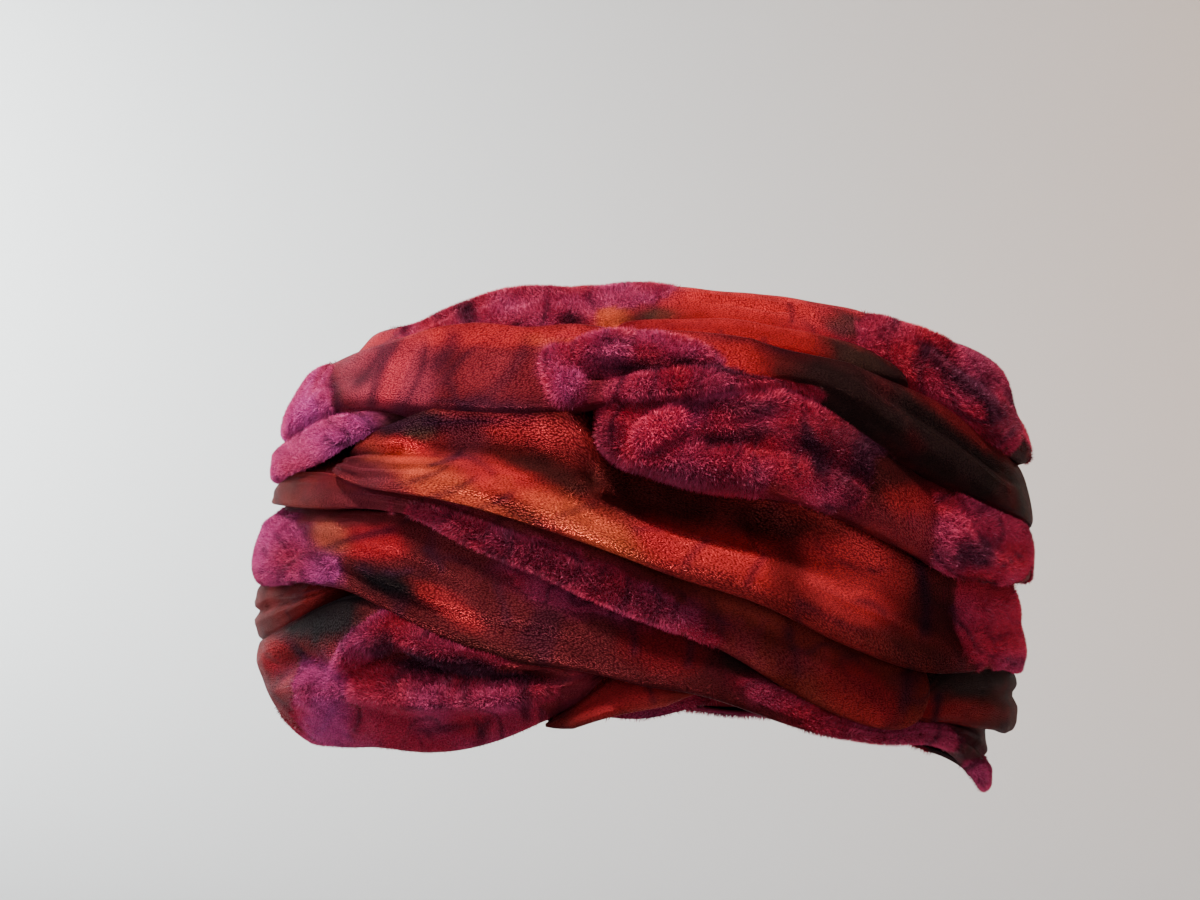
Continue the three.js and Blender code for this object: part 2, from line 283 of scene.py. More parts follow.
# print of the cloth: a row for each motif, placed as seen from the front at the hat's middle plane
velvetColumns = ["fold", "x", "z", "wide", "tall", "turn", "tone", "raise", "shag"]
velvetTable = [  # tone runs from crimson 0 to lilac 1, the lilac partly print and partly painted sheen of light grazing the left side; shag scales the length of the pile
    ["top_fold", -38, 110.5, 24, 10, 8, 0.2, 0.8, 0.8],
    ["top_fold", -8, 116, 14, 3.6, 0, 0.3, 0.6, 0.8],
    ["top_fold", 60, 103, 8, 8, -40, 0.05, 0.6, 0.8],
    ["top_fold", 80, 94, 22, 12, -45, 0.05, 0.9, 0.9],
    ["upper_roll", -89, 86, 8, 18, 0, 0.95, 0.5, 0.8],
    ["upper_roll", -22, 94.5, 5.5, 8, 12, 0.55, 3.0, 1.1],
    ["upper_roll", -12, 100.5, 11, 4.6, 12, 0.4, 3.2, 1.1],
    ["upper_roll", 5, 100.5, 12, 4.2, -10, 0.25, 2.6, 1.1],
    ["upper_roll", -4, 96, 9, 4, -10, 0.3, 0.3, 0.7],
    ["upper_roll", 6, 91.5, 17, 4.2, 5, 0.2, 2.8, 1.1],
    ["upper_roll", 29, 90, 13, 3.8, -8, 0.15, 2.0, 1.0],
    ["rose_fold", 14, 87, 32, 6, -3, 0.15, 0.5, 1.1],
    ["rose_fold", 12, 76, 27, 11.5, -7, 0.1, 0.6, 1.1],
    ["rose_fold", 2.5, 81, 9, 4.2, 30, 0.15, 2.8, 1.1],
    ["rose_fold", 24, 86.5, 14, 3.2, 8, 0.3, 2.6, 1.1],
    ["rose_fold", 42, 73, 16, 10, -12, 0.05, 0.4, 0.7],
    ["rose_fold", 85, 55, 13, 13, -10, 0.05, 0.8, 1.0],
    ["rose_fold", -79, 79, 11, 6, 0, 1.0, 0.7, 0.8],
    ["rose_fold", -92, 72, 8, 6, 0, 0.9, 0.7, 0.7],
    ["sash", 90, 36, 13, 15, 0, 0.12, 0.7, 0.9],
    ["under_sash", -24, 45, 40, 6.5, -22, 0.2, 0.9, 1.2],
    ["lower_sash", -95, 51, 7, 9, 0, 0.9, 0.8, 0.9],
    ["lower_sash", -86, 46, 7, 3.5, -8, 0.8, 0.6, 0.8],
    ["lower_sash", -18, 39.5, 17, 4, -14, 0.35, 0.2, 0.5],
    ["lower_sash", 33, 13, 11, 3, -22, 0.1, 0.4, 0.8],
    ["lower_sash", 57, 5.5, 20, 3.4, -8, 0.1, 0.4, 0.8],
    ["lower_sash", 81, -6, 5, 4, 10, 0.4, 0.5, 0.7],
    ["side_pouf", -71, 27, 13, 5, 46, 0.8, 2.0, 1.0],
    ["side_pouf", -61, 32, 7, 5, -10, 0.6, 1.8, 1.0],
    ["side_pouf", -50, 27, 16, 4.5, -14, 0.15, 1.2, 1.0],
    ["side_pouf", -54, 16, 29, 6.5, -4, 0.1, 2.2, 1.0],
    ["side_pouf", -82, 12, 7, 11, 15, 0.9, 0.6, 0.8],
    ["side_pouf", -54, 3, 34, 10, -2, 0.3, 0.4, 0.5],
    ["crown", 9, 11, 20, 6, -5, 0.35, 0.2, 0.7],
]
paintColumns = ["fold", "paint", "x", "z", "wide", "tall", "turn", "strength"]
paintTable = [  # patches on the satin: print, with painted highlight and painted shade where the rows say so
    # the gold and orange on the top two folds are partly print, partly painted highlight where the light
    # falls
    ["top_fold", "gold", -11.5, 109.5, 7, 3, 0, 0.85],
    ["top_fold", "leaf", 6, 109.5, 12, 3.6, -3, 0.95],
    ["top_fold", "olive", 3, 110.4, 5, 1.6, 0, 0.6],
    ["top_fold", "orange", 20, 112, 19, 5.5, -4, 0.9],
    ["top_fold", "leaf", 50, 107.5, 6, 3, -20, 0.8],
    ["top_fold", "leaf", 92, 78, 4, 10, 0, 0.8],
    ["leaf_fold", "orange", 30, 103, 23, 7, -12, 0.85],
    ["leaf_fold", "leaf", 56, 97, 12, 7, -20, 0.96],
    ["leaf_fold", "olive", 54, 98, 5, 3, -20, 0.3],
    # the orange and gold along the roll's top rim are partly print, partly painted highlight
    ["upper_roll", "orange", -34, 105, 35, 3, 0, 0.6],
    ["upper_roll", "gold", -25, 103, 8, 1.8, -10, 0.3],
    # the blush on the roll's left face is partly print, partly painted sheen of the light from the left
    ["upper_roll", "blush", -69, 96, 13, 9, 0, 0.85],
    ["upper_roll", "red", -65, 95, 3, 10, -25, 0.4],
    # the orange on the right of the roll's top edge is partly print, partly painted highlight
    ["upper_roll", "orange", 22, 99, 16, 4.5, -16, 0.85],
    ["upper_roll", "leaf", 50, 89, 20, 9, -28, 0.95],
    ["upper_roll", "leaf", 78, 76, 20, 12, -45, 0.97],
    ["upper_roll", "red", 79, 82, 18, 2.2, -38, 0.4],
    ["rose_fold", "leaf", -60, 81, 10, 5, 0, 0.95],
    ["rose_fold", "umber", 58, 70, 13, 9, -20, 0.85],
    ["rose_fold", "orange", 66, 63, 7, 4, -20, 0.45],
    # mauve: painted shade, the cool tint of the shaded left of the sash
    ["sash", "mauve", -73, 71, 11, 5, -12, 0.95],
    ["sash", "ink", -61, 82, 9, 4, 5, 0.95],
    ["sash", "olive", -58, 80.5, 4, 2.5, -15, 0.5],
    ["sash", "red", -61.5, 75.5, 6, 3, -10, 0.9],
    # mauve: painted shade
    ["sash", "mauve", -46, 79, 6, 7, -10, 0.85],
    # flame: the sash's top strip, partly print red, partly painted light
    ["sash", "flame", -30, 81, 14, 4, -10, 0.85],
    # the three umber patches below are painted shadow: the sash's hollow and the band under the rose's lip
    ["sash", "umber", -28, 70, 15, 5, -22, 0.97],
    ["sash", "umber", 4, 63, 24, 5.5, -14, 0.9],
    ["sash", "umber", 30, 57, 14, 5, -10, 0.75],
    # the gold and orange along the sash's ridge below are partly print, partly painted highlight
    ["sash", "gold", -50, 66, 20, 4.5, -26, 0.55],
    ["sash", "orange", -35, 67, 13, 5, -22, 0.75],
    ["sash", "umber", -33, 60.5, 7, 2.8, -25, 0.75],
    ["sash", "gold", -16, 57, 18, 4.5, -28, 0.7],
    ["sash", "red", 2, 52, 7, 5, -30, 0.6],
    ["sash", "orange", 24, 48, 18, 6, -16, 0.65],
    ["sash", "umber", 35, 45, 5, 6, 10, 0.55],
    ["sash", "umber", 52, 52, 12, 4, -8, 0.7],
    # flame: the red patch on the sash's right, raised in brightness as painted light where the lamp barely
    # reaches
    ["sash", "flame", 52, 42.5, 12.5, 9.5, -35, 0.95],
    # the next two umber patches are painted shade on the sash's right side
    ["sash", "umber", 75, 34, 13, 16, 0, 0.7],
    ["sash", "umber", 62, 26, 14, 4, -18, 0.6],
    # mauve: painted shade on the left of the under sash
    ["under_sash", "mauve", -70, 62, 20, 4, -10, 0.8],
    ["under_sash", "red", 53, 14, 11, 6, -30, 0.4],
    ["lower_sash", "salmon", -80, 54, 5, 3, -25, 0.7],
    ["lower_sash", "red", -69, 52, 9, 4.5, -10, 0.6],
    ["lower_sash", "ink", -66, 42.5, 11, 4, -16, 0.95],
    ["lower_sash", "orange", -51, 36.5, 11, 2.6, -32, 0.35],
    # umber: painted shadow between the lower sash and the pouf
    ["lower_sash", "umber", -38, 23, 14, 4, -18, 0.8],
    ["lower_sash", "red", 2, 27, 10, 6, -15, 0.3],
    ["lower_sash", "leaf", 22, 22.5, 4, 3, -25, 0.7],
    ["right_roll", "leaf", 79, 18, 13, 4, 0, 0.95],
    ["right_roll", "red", 77, 10, 12, 3, 0, 0.35],
    ["side_pouf", "ink", -79, 34, 16, 10, 18, 0.98],
    ["side_pouf", "red", -95, 24, 5, 5, 0, 0.4],
    ["cross_strip", "red", -6, 15, 12, 4, 18, 0.6],
]
dyeTable = [  # the same columns, for patches on the velvet: print, with painted shade and painted sheen where the rows say so
    ["top_fold", "plum", -46, 110, 3, 4, 20, 0.8],
    ["top_fold", "plum", -20, 108, 4, 2.5, 0, 0.8],
    # the plum on the top fold's right end, here and in the next three rows, is partly the print's dark
    # swirls and partly painted shade on its side away from the light
    ["top_fold", "plum", 79, 92, 12, 3, -48, 0.9],
    ["top_fold", "plum", 70, 99, 5, 2.5, -60, 0.8],
    ["top_fold", "plum", 90, 84, 6, 8, -60, 0.7],
    ["top_fold", "plum", 84, 97, 14, 5, -45, 0.5],
    # lilac on the roll's left end: partly print, partly painted sheen of the light from the left
    ["upper_roll", "lilac", -90, 86, 8, 14, 0, 0.8],
    # the plum in the curl's hollow and the thin lines along the groove under it, here and in the next three
    # rows, are painted shade
    ["upper_roll", "plum", -4, 96, 8, 2.2, -6, 0.95],
    ["upper_roll", "plum", 18, 95.5, 14, 1.4, -8, 0.8],
    ["upper_roll", "plum", 12, 87.5, 22, 1.6, -2, 0.6],
    ["rose_fold", "plum", 14, 86, 24, 1.6, -3, 0.6],
    # plum on the rose's left end: painted shade
    ["rose_fold", "plum", -12, 77, 6, 9, 0, 0.5],
    # petal: a painted highlight on the rose's raised petal
    ["rose_fold", "petal", 2.5, 81, 8, 4, 30, 0.85],
    ["rose_fold", "plum", 22, 79, 11, 2.4, 8, 0.75],
    ["rose_fold", "plum", 39, 80, 1.8, 7, 10, 0.8],
    ["rose_fold", "crimson", 46, 81, 3, 4, -10, 0.8],
    ["rose_fold", "plum", 42, 73, 2.5, 9, 12, 0.8],
    ["rose_fold", "plum", 56, 72, 6, 9, -10, 0.85],
    ["rose_fold", "plum", 81, 50, 6, 5, 0, 0.9],
    # plum over the rose's right part: painted shade
    ["rose_fold", "plum", 48, 74, 14, 10, -12, 0.72],
    ["rose_fold", "plum", 12, 68.5, 24, 3, -6, 0.55],
    ["rose_fold", "plum", 58, 54, 16, 4.5, -12, 0.75],
    ["sash", "plum", 72, 38, 4, 10, 5, 0.7],
    ["sash", "crimson", 84, 33, 4, 8, 5, 0.5],
    # on the strip under the sash: plum painted as the shadow of the sash's lip, lilac as painted highlight
    # on its lower edge
    ["under_sash", "plum", -26, 48, 44, 4, -22, 0.5],
    ["under_sash", "lilac", -40, 48.5, 20, 1.2, -24, 0.4],
    # plum along the pouf's valley: painted shade
    ["side_pouf", "plum", -48, 21.5, 24, 2.8, -8, 0.95],
    ["side_pouf", "plum", -84, 28, 8, 2, 46, 0.8],
    ["side_pouf", "plum", -66, 27, 2.5, 4, -20, 0.8],
    ["side_pouf", "plum", -52, 6, 10, 1.2, 8, 0.6],
    ["side_pouf", "plum", -42, 4, 1.6, 6, -15, 0.65],
    ["side_pouf", "plum", -31, 14, 1.6, 6, 0, 0.7],
    ["side_pouf", "plum", -45, 16, 1.4, 5, 10, 0.6],
    # lilac on the pouf's lower left: partly print, partly painted sheen
    ["side_pouf", "lilac", -80, 7, 7, 7, 0, 0.6],
    ["side_pouf", "rose", -55, 0, 25, 5, 0, 0.5],
]
strokeColumns = ["fold", "x0", "z0", "x1", "z1", "bend", "wide", "strength"]
strokeTable = [  # dark petal outlines, bent sideways by bend; two long rows paint the shadow under the upper roll's lip
    ["upper_roll", -67, 106, -77, 91, 2.0, 2.4, 0.75],
    ["upper_roll", -62, 107, -71, 84, -2.0, 1.8, 0.65],
    ["upper_roll", -57, 105, -66, 83, 2.5, 1.2, 0.55],
    ["upper_roll", -49, 108, -57, 95, 1.5, 3.2, 0.6],
    ["upper_roll", -30, 108, -52, 85, 5.0, 2.6, 0.45],
    ["upper_roll", -82, 97, -79, 82, 1.0, 1.6, 0.7],
    ["upper_roll", -58, 88, -45, 87, 1.0, 1.2, 0.6],
    # painted shadow along the roll's lower edge
    ["upper_roll", -80, 86, -20, 87, -1.5, 4.0, 0.65],
    ["leaf_fold", 17, 107, 20, 101, 0.5, 0.9, 0.6],
    ["leaf_fold", 28, 105, 31, 98, 0.5, 0.9, 0.6],
    ["top_fold", 35, 114, 36, 107, 0.5, 1.2, 0.6],
    ["sash", -58, 72, -46, 77, -1.5, 1.1, 0.7],
    ["sash", -50, 75, -38, 68, 1.5, 1.2, 0.5],
    ["sash", 66, 52, 68, 26, 2.0, 2.2, 0.85],
    # painted shadow along the sash's top, under the roll
    ["sash", -80, 81.5, -22, 84.5, 0.0, 2.4, 0.9],
    ["sash", -66, 67, -48, 74, -1.5, 1.2, 0.6],
    ["sash", -60, 63, -42, 70, -1.2, 1.3, 0.6],
    ["sash", -48, 60, -33, 66, -1.0, 1.3, 0.55],
    ["sash", -26, 57, -12, 62, 1.0, 1.4, 0.45],
    ["sash", 8, 45, 16, 54, 1.0, 1.5, 0.5],
    ["sash", 24, 40, 30, 50, 1.0, 1.5, 0.5],
    ["sash", 44, 51, 61, 46, -2.5, 1.1, 0.7],
    ["sash", 50, 38, 60, 33, 1.5, 1.4, 0.6],
    ["sash", 40, 54, 46, 45, 1.0, 1.2, 0.5],
    ["under_sash", 14, 40, 18, 27, 1.0, 1.6, 0.5],
    ["under_sash", 33, 33, 37, 17, 1.0, 1.6, 0.5],
    ["under_sash", 64, 24, 62, 8, 1.0, 1.8, 0.6],
    ["lower_sash", -84, 50, -62, 56, 1.0, 1.4, 0.7],
    ["lower_sash", -76, 47, -58, 46, -1.5, 1.3, 0.7],
    ["lower_sash", -58, 52, -52, 44, 1.0, 1.6, 0.6],
    ["lower_sash", -5, 33, -4, 23, 0.5, 1.8, 0.6],
    ["lower_sash", 10, 29, 9, 20, 0.5, 1.5, 0.6],
    ["lower_sash", -40, 44, -36, 30, 1.0, 1.6, 0.5],
    ["side_pouf", -96, 30, -86, 22, 1.0, 1.3, 0.6],
    ["right_roll", 72, 16, 70, 6, 0.5, 1.4, 0.8],
    ["cross_strip", -2, 20, 1, 11, 0.5, 1.4, 0.7],
]
velvetRows = rowsOf(velvetColumns, velvetTable)
paintRows, dyeRows = (rowsOf(paintColumns, table) for table in (paintTable, dyeTable))
strokeRows = rowsOf(strokeColumns, strokeTable)
paints = {  # linear light
    # orange, gold and flame stand partly for painted highlight, umber and plum partly and mauve wholly for
    # painted shade, blush and lilac partly for painted sheen, petal for a painted highlight
    "orange": (0.44, 0.017, 0.021),
    "gold": (0.52, 0.068, 0.029),
    "red": (0.4, 0.012, 0.02),
    "salmon": (0.4, 0.07, 0.045),
    "rose": (0.33, 0.02, 0.055),
    "umber": (0.036, 0.007, 0.007),
    "olive": (0.1, 0.045, 0.032),
    "mauve": (0.11, 0.015, 0.023),
    "leaf": (0.031, 0.014, 0.014),
    "ink": (0.007, 0.0055, 0.0065),
    "blush": (0.29, 0.029, 0.054),
    "plum": (0.03, 0.007, 0.016),
    "petal": (0.52, 0.03, 0.08),
    "flame": (0.6, 0.033, 0.04),
    "crimson": (0.375, 0.018, 0.036),
    "magenta": (0.39, 0.04, 0.105),
    "lilac": (0.46, 0.062, 0.25),
}
paints = {name: np.array(tint) for name, tint in paints.items()}
# ground of each fold's satin; the dark grounds of the lower folds, lower_sash and right_roll most, are
# partly print and partly painted shade
grounds = {
    "crown": (0.16, 0.014, 0.022),
    "top_fold": (0.3, 0.015, 0.024),
    "leaf_fold": (0.34, 0.015, 0.022),
    "upper_roll": (0.125, 0.01, 0.015),
    "rose_fold": (0.2, 0.016, 0.02),
    "sash": (0.22, 0.016, 0.018),
    "under_sash": (0.185, 0.02, 0.018),
    "right_roll": (0.1, 0.01, 0.011),
    "lower_sash": (0.066, 0.0075, 0.01),
    "side_tuck": (0.13, 0.011, 0.012),
    "side_pouf": (0.14, 0.014, 0.017),
    "cross_strip": (0.19, 0.019, 0.02),
}
grounds = {name: np.array(tint) for name, tint in grounds.items()}
# shares by which the velvet of these folds is darkened: painted shade, deepest on the lower folds and the
# crown
velvetPaintedShade = {"top_fold": 0.9, "side_pouf": 0.72, "lower_sash": 0.75, "under_sash": 0.95, "crown": 0.7}


def seenFromFront(points):  # millimetres at the hat's middle plane, as the camera sees them
    depth = camera["distance"] + points[..., 1]
    x = points[..., 0] * camera["distance"] / depth
    z = camera["height"] + (points[..., 2] - camera["height"]) * camera["distance"] / depth
    return x, z


def inPatch(x, z, row, power=2.5):  # 1 on the patch's edge
    turn = math.radians(row["turn"])
    dx, dz = x - row["x"], z - row["z"]
    along = (dx * math.cos(turn) + dz * math.sin(turn)) / row["wide"]
    up = (-dx * math.sin(turn) + dz * math.cos(turn)) / row["tall"]
    return (np.abs(along) ** power + np.abs(up) ** power) ** (1 / power), along, up


def fromStroke(x, z, row):  # distance to a bent line
    x0, z0, x1, z1 = row["x0"], row["z0"], row["x1"], row["z1"]
    length = math.hypot(x1 - x0, z1 - z0)
    ux, uz = (x1 - x0) / length, (z1 - z0) / length
    t = ((x - x0) * ux + (z - z0) * uz) / length
    inside = np.clip(t, 0, 1)
    aside = (x - x0) * -uz + (z - z0) * ux - row["bend"] * 4 * inside * (1 - inside)
    return np.hypot(aside, (t - inside) * length), smooth(0, 0.2, t) * smooth(1, 0.8, t)


def ringsOf(turns):  # 0 halfway through each turn, 1 where it begins
    return np.abs(turns % 1 - 0.5) * 2


def seedOf(name):
    return foldNames.index(name) if name in foldNames else 40


figure = {
    "ring": 7.5,  # from ring to ring of a velvet rose
    "lean": 1.4,  # roses are lower than wide by this
    "plainShag": 0.8,
    "gap": 0.7,  # strength of the plum between petals
    "behindRaise": 0.7,
    # how far out a motif fades in, 1 being its edge: its pile, its dye, its swelling, and patches on it
    "body": (1.14, 0.84),
    "halo": (1.75, 0.95),
    "lift": (1.2, 0.45),
    "dye": (1.3, 0.5),
    # noise that makes the edges ragged: share, size and seed
    "ragged": [(0.14, (5, 5, 5), 11), (0.09, (2, 2, 2), 12), (0.16, (12, 12, 9), 13)],
    "front": (30, -6),  # depths between which the photo's motifs give way to the figure drawn from noise
    "sides": (-55, -15),  # and where petals are seen edge on
}


def velvetOn(name, points, front, edge):
    x, z = seenFromFront(points)
    pile, raised, bleed = (np.zeros(x.shape) for k in range(3))
    shag = np.full(x.shape, figure["plainShag"])
    tint = mix(paints["magenta"], paints["crimson"], np.full(x.shape, 0.3))
    for row in rowsOn(velvetRows, name):
        near, u, v = inPatch(x, z, row)
        here = smooth(*figure["body"], near + edge) * front
        swirl = np.hypot(u * row["wide"], v * row["tall"] * figure["lean"]) / figure["ring"]
        swirl = swirl - np.arctan2(v, u) / (2 * math.pi) + 0.45 * noise(x / 7, z / 7, row["x"], 21)
        shade = 0.5 + 0.5 * noise(x / 9, z / 7, row["x"] + 3, 22)
        petal = mix(paints["crimson"], paints["magenta"], np.clip(row["tone"] + shade - 0.3, 0, 1))
        # lilac comes in with the tone: partly print, partly painted sheen
        petal = mix(petal, paints["lilac"], np.clip(row["tone"] * (0.2 + 1.0 * shade) - 0.15, 0, 1))
        gap = smooth(0.34, 0.06, ringsOf(swirl)) * smooth(-0.5, 0.3, noise(x / 8, z / 8, row["x"], 23))
        petal = mix(petal, paints["plum"], figure["gap"] * gap)
        tint = mix(tint, petal, smooth(*figure["halo"], near + edge))
        pile = np.maximum(pile, here)
        bleed = np.maximum(bleed, smooth(*figure["halo"], near + 2 * edge) * front)
        shag = shag * (1 - here) + row["shag"] * here * (0.6 + 0.4 * smooth(1.1, 0.7, near))
        lifted = row["raise"] * smooth(*figure["lift"], near + 0.5 * edge) * front
        raised = np.maximum(raised, lifted)
    for row in rowsOn(dyeRows, name):
        near = inPatch(x, z, row, 2)[0]
        here = smooth(*figure["dye"], near + 1.5 * edge) * front * row["strength"]
        tint = mix(tint, paints[row["paint"]], here)
    sides = smooth(*figure["sides"], points[..., 1])
    turns = noiseAt(points, 14, 17, 9, 24)
    tint = mix(tint, paints["crimson"], 0.55 * sides * smooth(-0.05, 0.3, turns))
    tint = mix(tint, paints["plum"], 0.6 * sides * smooth(0.36, 0.08, ringsOf(4 * turns)))
    # the side away from the photo carries the same figure, drawn from noise
    blobs = noiseAt(points, 26, 26, 15, 31 + seedOf(name)) + 0.3 * noiseAt(points, 9, 9, 9, 32)
    behind = smooth(0.05, 0.2, blobs) * (1 - front)
    petal = mix(paints["crimson"], paints["magenta"], smooth(-0.4, 0.5, edge * 4))
    petal = mix(petal, paints["plum"], figure["gap"] * smooth(0.3, 0.1, ringsOf(6 * blobs)))
    # the velvet is then darkened fold by fold: painted shade
    tint = mix(tint, petal, behind) * velvetPaintedShade.get(name, 1.0)
    return np.maximum(pile, behind), np.maximum(raised, figure["behindRaise"] * behind), bleed, shag, tint


satinFigure = {
    "cell": (24, 19),  # petals of the ground, along and across
    "warp": 0.45,
    "middle": (0.8, 0.2),  # a petal brightens from the first to the second
    "shades": (0.72, 1.1),  # of the ground, at its edge and in its middle
    "brighter": 0.3,  # some petals stand out by this
    "line": 0.5,  # strength of the dark lines between them
    "bleed": 0.6,  # of the velvet's dye into the satin
    "patch": (1.45, 0.5),  # how far out a painted patch fades in
    "fleck": (5, 2.4),  # along and across
    "fleckShades": (0.84, 0.32),  # the darkest, and the range above it
}


def satinOn(name, points, along, across, front, edge, bleed, velvet):
    x, z = seenFromFront(points)
    seed = seedOf(name)
    look = satinFigure
    cellAlong, cellAcross = look["cell"]
    wx = along / cellAlong + look["warp"] * noise(along / 17, across / 13, seed, 41)
    wy = across / cellAcross + look["warp"] * noise(along / 15, across / 15, seed + 9, 42)
    first, second, tag = cells(wx, wy, 51 + seed)
    middle = smooth(*look["middle"], first)
    dark, bright = (grounds[name] * shade for shade in look["shades"])
    tint = mix(dark, bright, middle)
    tint = tint * (1 + look["brighter"] * smooth(0.62, 0.8, tag) * middle)[..., None]
    broken = smooth(-0.35, 0.35, noise(along / 12, across / 12, seed, 43))
    line = smooth(0.18, 0.02, second - first) * broken
    tint = mix(tint, paints["plum"], look["line"] * line)
    tint = mix(tint, look["bleed"] * velvet, look["bleed"] * bleed)
    for row in rowsOn(paintRows, name):
        near = inPatch(x, z, row, 2)[0]
        ragged = near + 0.9 * edge + 0.2 * noise(along / 8, across / 5, seed, 44)
        here = smooth(*look["patch"], ragged) * front * row["strength"]
        tint = mix(tint, paints[row["paint"]], here)
    for row in rowsOn(strokeRows, name):
        distance, inside = fromStroke(x, z, row)
        drawn = smooth(row["wide"] * 1.4, 0.2, distance + 2.5 * np.abs(edge)) * inside
        tint = mix(tint, paints["plum"], drawn * front * row["strength"])
    fleckAlong, fleckAcross = look["fleck"]
    flecks = 0.5 + 0.5 * noise(along / fleckAlong, across / fleckAcross, seed, 45)
    darkest, spread = look["fleckShades"]
    return tint * (darkest + spread * flecks)[..., None]


def printOn(name, points, along, across):
    front = smooth(*figure["front"], points[..., 1])
    edge = sum(share * noiseAt(points, *size, seed) for share, size, seed in figure["ragged"])
    pile, raised, bleed, shag, velvet = velvetOn(name, points, front, edge)
    satin = satinOn(name, points, along, across, front, edge, bleed, velvet)
    tint = mix(satin, velvet, smooth(0.05, 0.5, pile))
    return {"pile": pile, "raised": raised, "shag": shag, "tint": tint}


# a row for each pleat that runs along a fold: places across run from 0 at the upper edge to 1 at the lip
pleatColumns = ["fold", "from", "to", "start", "end", "wide", "depth"]
pleatTable = [
    ["top_fold", 0, 27, 0.55, 0.6, 2.0, -0.9],
    ["top_fold", 40, 100, 0.5, 0.62, 5.0, -2.0],
    ["top_fold", 52, 84, 0.72, 0.8, 4.0, -1.6],
    ["top_fold", -50, -10, 0.5, 0.45, 5.0, -1.0],
    ["upper_roll", -75, -20, 0.45, 0.55, 8.0, -0.9],
    ["upper_roll", -10, 1, 0.62, 0.7, 3.2, -2.6],
    ["upper_roll", 24, 70, 0.5, 0.45, 4.0, -1.2],
    ["rose_fold", 2, 34, 0.5, 0.6, 3.5, -1.6],
    ["rose_fold", 44, 74, 0.5, 0.45, 5.0, -2.2],
    ["sash", -42, 30, 0.42, 0.4, 9.0, -7.0],
    ["sash", -56, -30, 0.3, 0.42, 4.0, -1.6],
    ["sash", -54, -16, 0.62, 0.7, 3.0, -1.3],
    ["sash", -48, -8, 0.84, 0.9, 2.4, -1.0],
    ["sash", 40, 78, 0.5, 0.55, 5.0, -1.8],
    ["under_sash", -44, 2, 0.42, 0.5, 3.0, -1.2],
    ["under_sash", 4, 36, 0.5, 0.42, 6.0, -1.0],
    ["right_roll", 44, 120, 0.45, 0.5, 4.0, -1.0],
    ["lower_sash", -52, -18, 0.4, 0.5, 3.5, -1.6],
    ["lower_sash", -46, -4, 0.74, 0.7, 3.0, -1.2],
    ["lower_sash", 20, 90, 0.5, 0.5, 3.0, -1.0],
    ["side_pouf", 316, 352, 0.36, 0.2, 4.5, -5.0],
    ["side_pouf", 300, 350, 0.55, 0.5, 9.0, 2.0],
    ["side_pouf", 292, 324, 0.2, 0.55, 4.0, -2.4],
    ["side_pouf", 312, 338, 0.66, 0.74, 3.5, -1.4],
    ["side_tuck", 270, 318, 0.5, 0.5, 3.0, -1.2],
]
pleatRows = rowsOf(pleatColumns, pleatTable)


wrinkles = {
    "gatherAt": -50,  # the cloth is drawn together here, at the left
    "gatherWide": 24,
    "drawn": 1.6,  # ridges along a fold
    "drape": 1.0,
    "dents": 0.2,
    "shoulder": 0.4,  # a pleat pushes the cloth up beside it
    "shoulderAt": 1.7,
}


def reliefOn(index, azimuth, share, along, across, out):
    fold = folds[index]
    fromGather = (wrap(azimuth) - wrinkles["gatherAt"]) / wrinkles["gatherWide"]
    gathered = 0.5 + 0.9 * np.exp(-fromGather ** 2)
    lengthwise = 0.6 - 1.6 * np.abs(noise(along / 46, across / 9, index * 7.3, 61))  # drawn ridges
    lengthwise += 0.4 * noise(along / 26, across / 3.6, index * 5.1, 62)
    drape = noise(along / 26, across / 26, index * 3.1, 63)
    dents = noise(along / 12, across / 9, index * 2.3, 64)
    relief = fold["wrinkle"] * wrinkles["drawn"] * gathered * lengthwise
    relief = relief + wrinkles["drape"] * drape + wrinkles["dents"] * dents
    for row in rowsOn(pleatRows, fold["name"]):
        t = np.clip((azimuth - row["from"]) / (row["to"] - row["from"]), 0, 1)
        fade = smooth(0, 0.2, t) * smooth(1, 0.75, t)
        line = row["start"] + (row["end"] - row["start"]) * t + 0.05 * noise(along / 20, 0, row["from"], 65)
        spread = (share - line) * hat["usualArch"] / row["wide"]
        shoulder = wrinkles["shoulder"] * np.exp(-((np.abs(spread) - wrinkles["shoulderAt"]) ** 2))
        relief = relief + row["depth"] * fade * (np.exp(-(spread**2)) - shoulder)
    return relief * smooth(0.12, 0.55, out)


# meshes
def gridFaces(rows, columns, rowsClose, columnsClose):
    r = np.arange(rows if rowsClose else rows - 1)[:, None]
    c = np.arange(columns if columnsClose else columns - 1)[None, :]
    nextRow, nextColumn = (r + 1) % rows, (c + 1) % columns
    here, below = r * columns, nextRow * columns
    corners = [here + c, below + c, below + nextColumn, here + nextColumn]
    return list(np.stack([np.broadcast_to(k, (r.size, c.size)) for k in corners], -1).reshape(-1, 4))


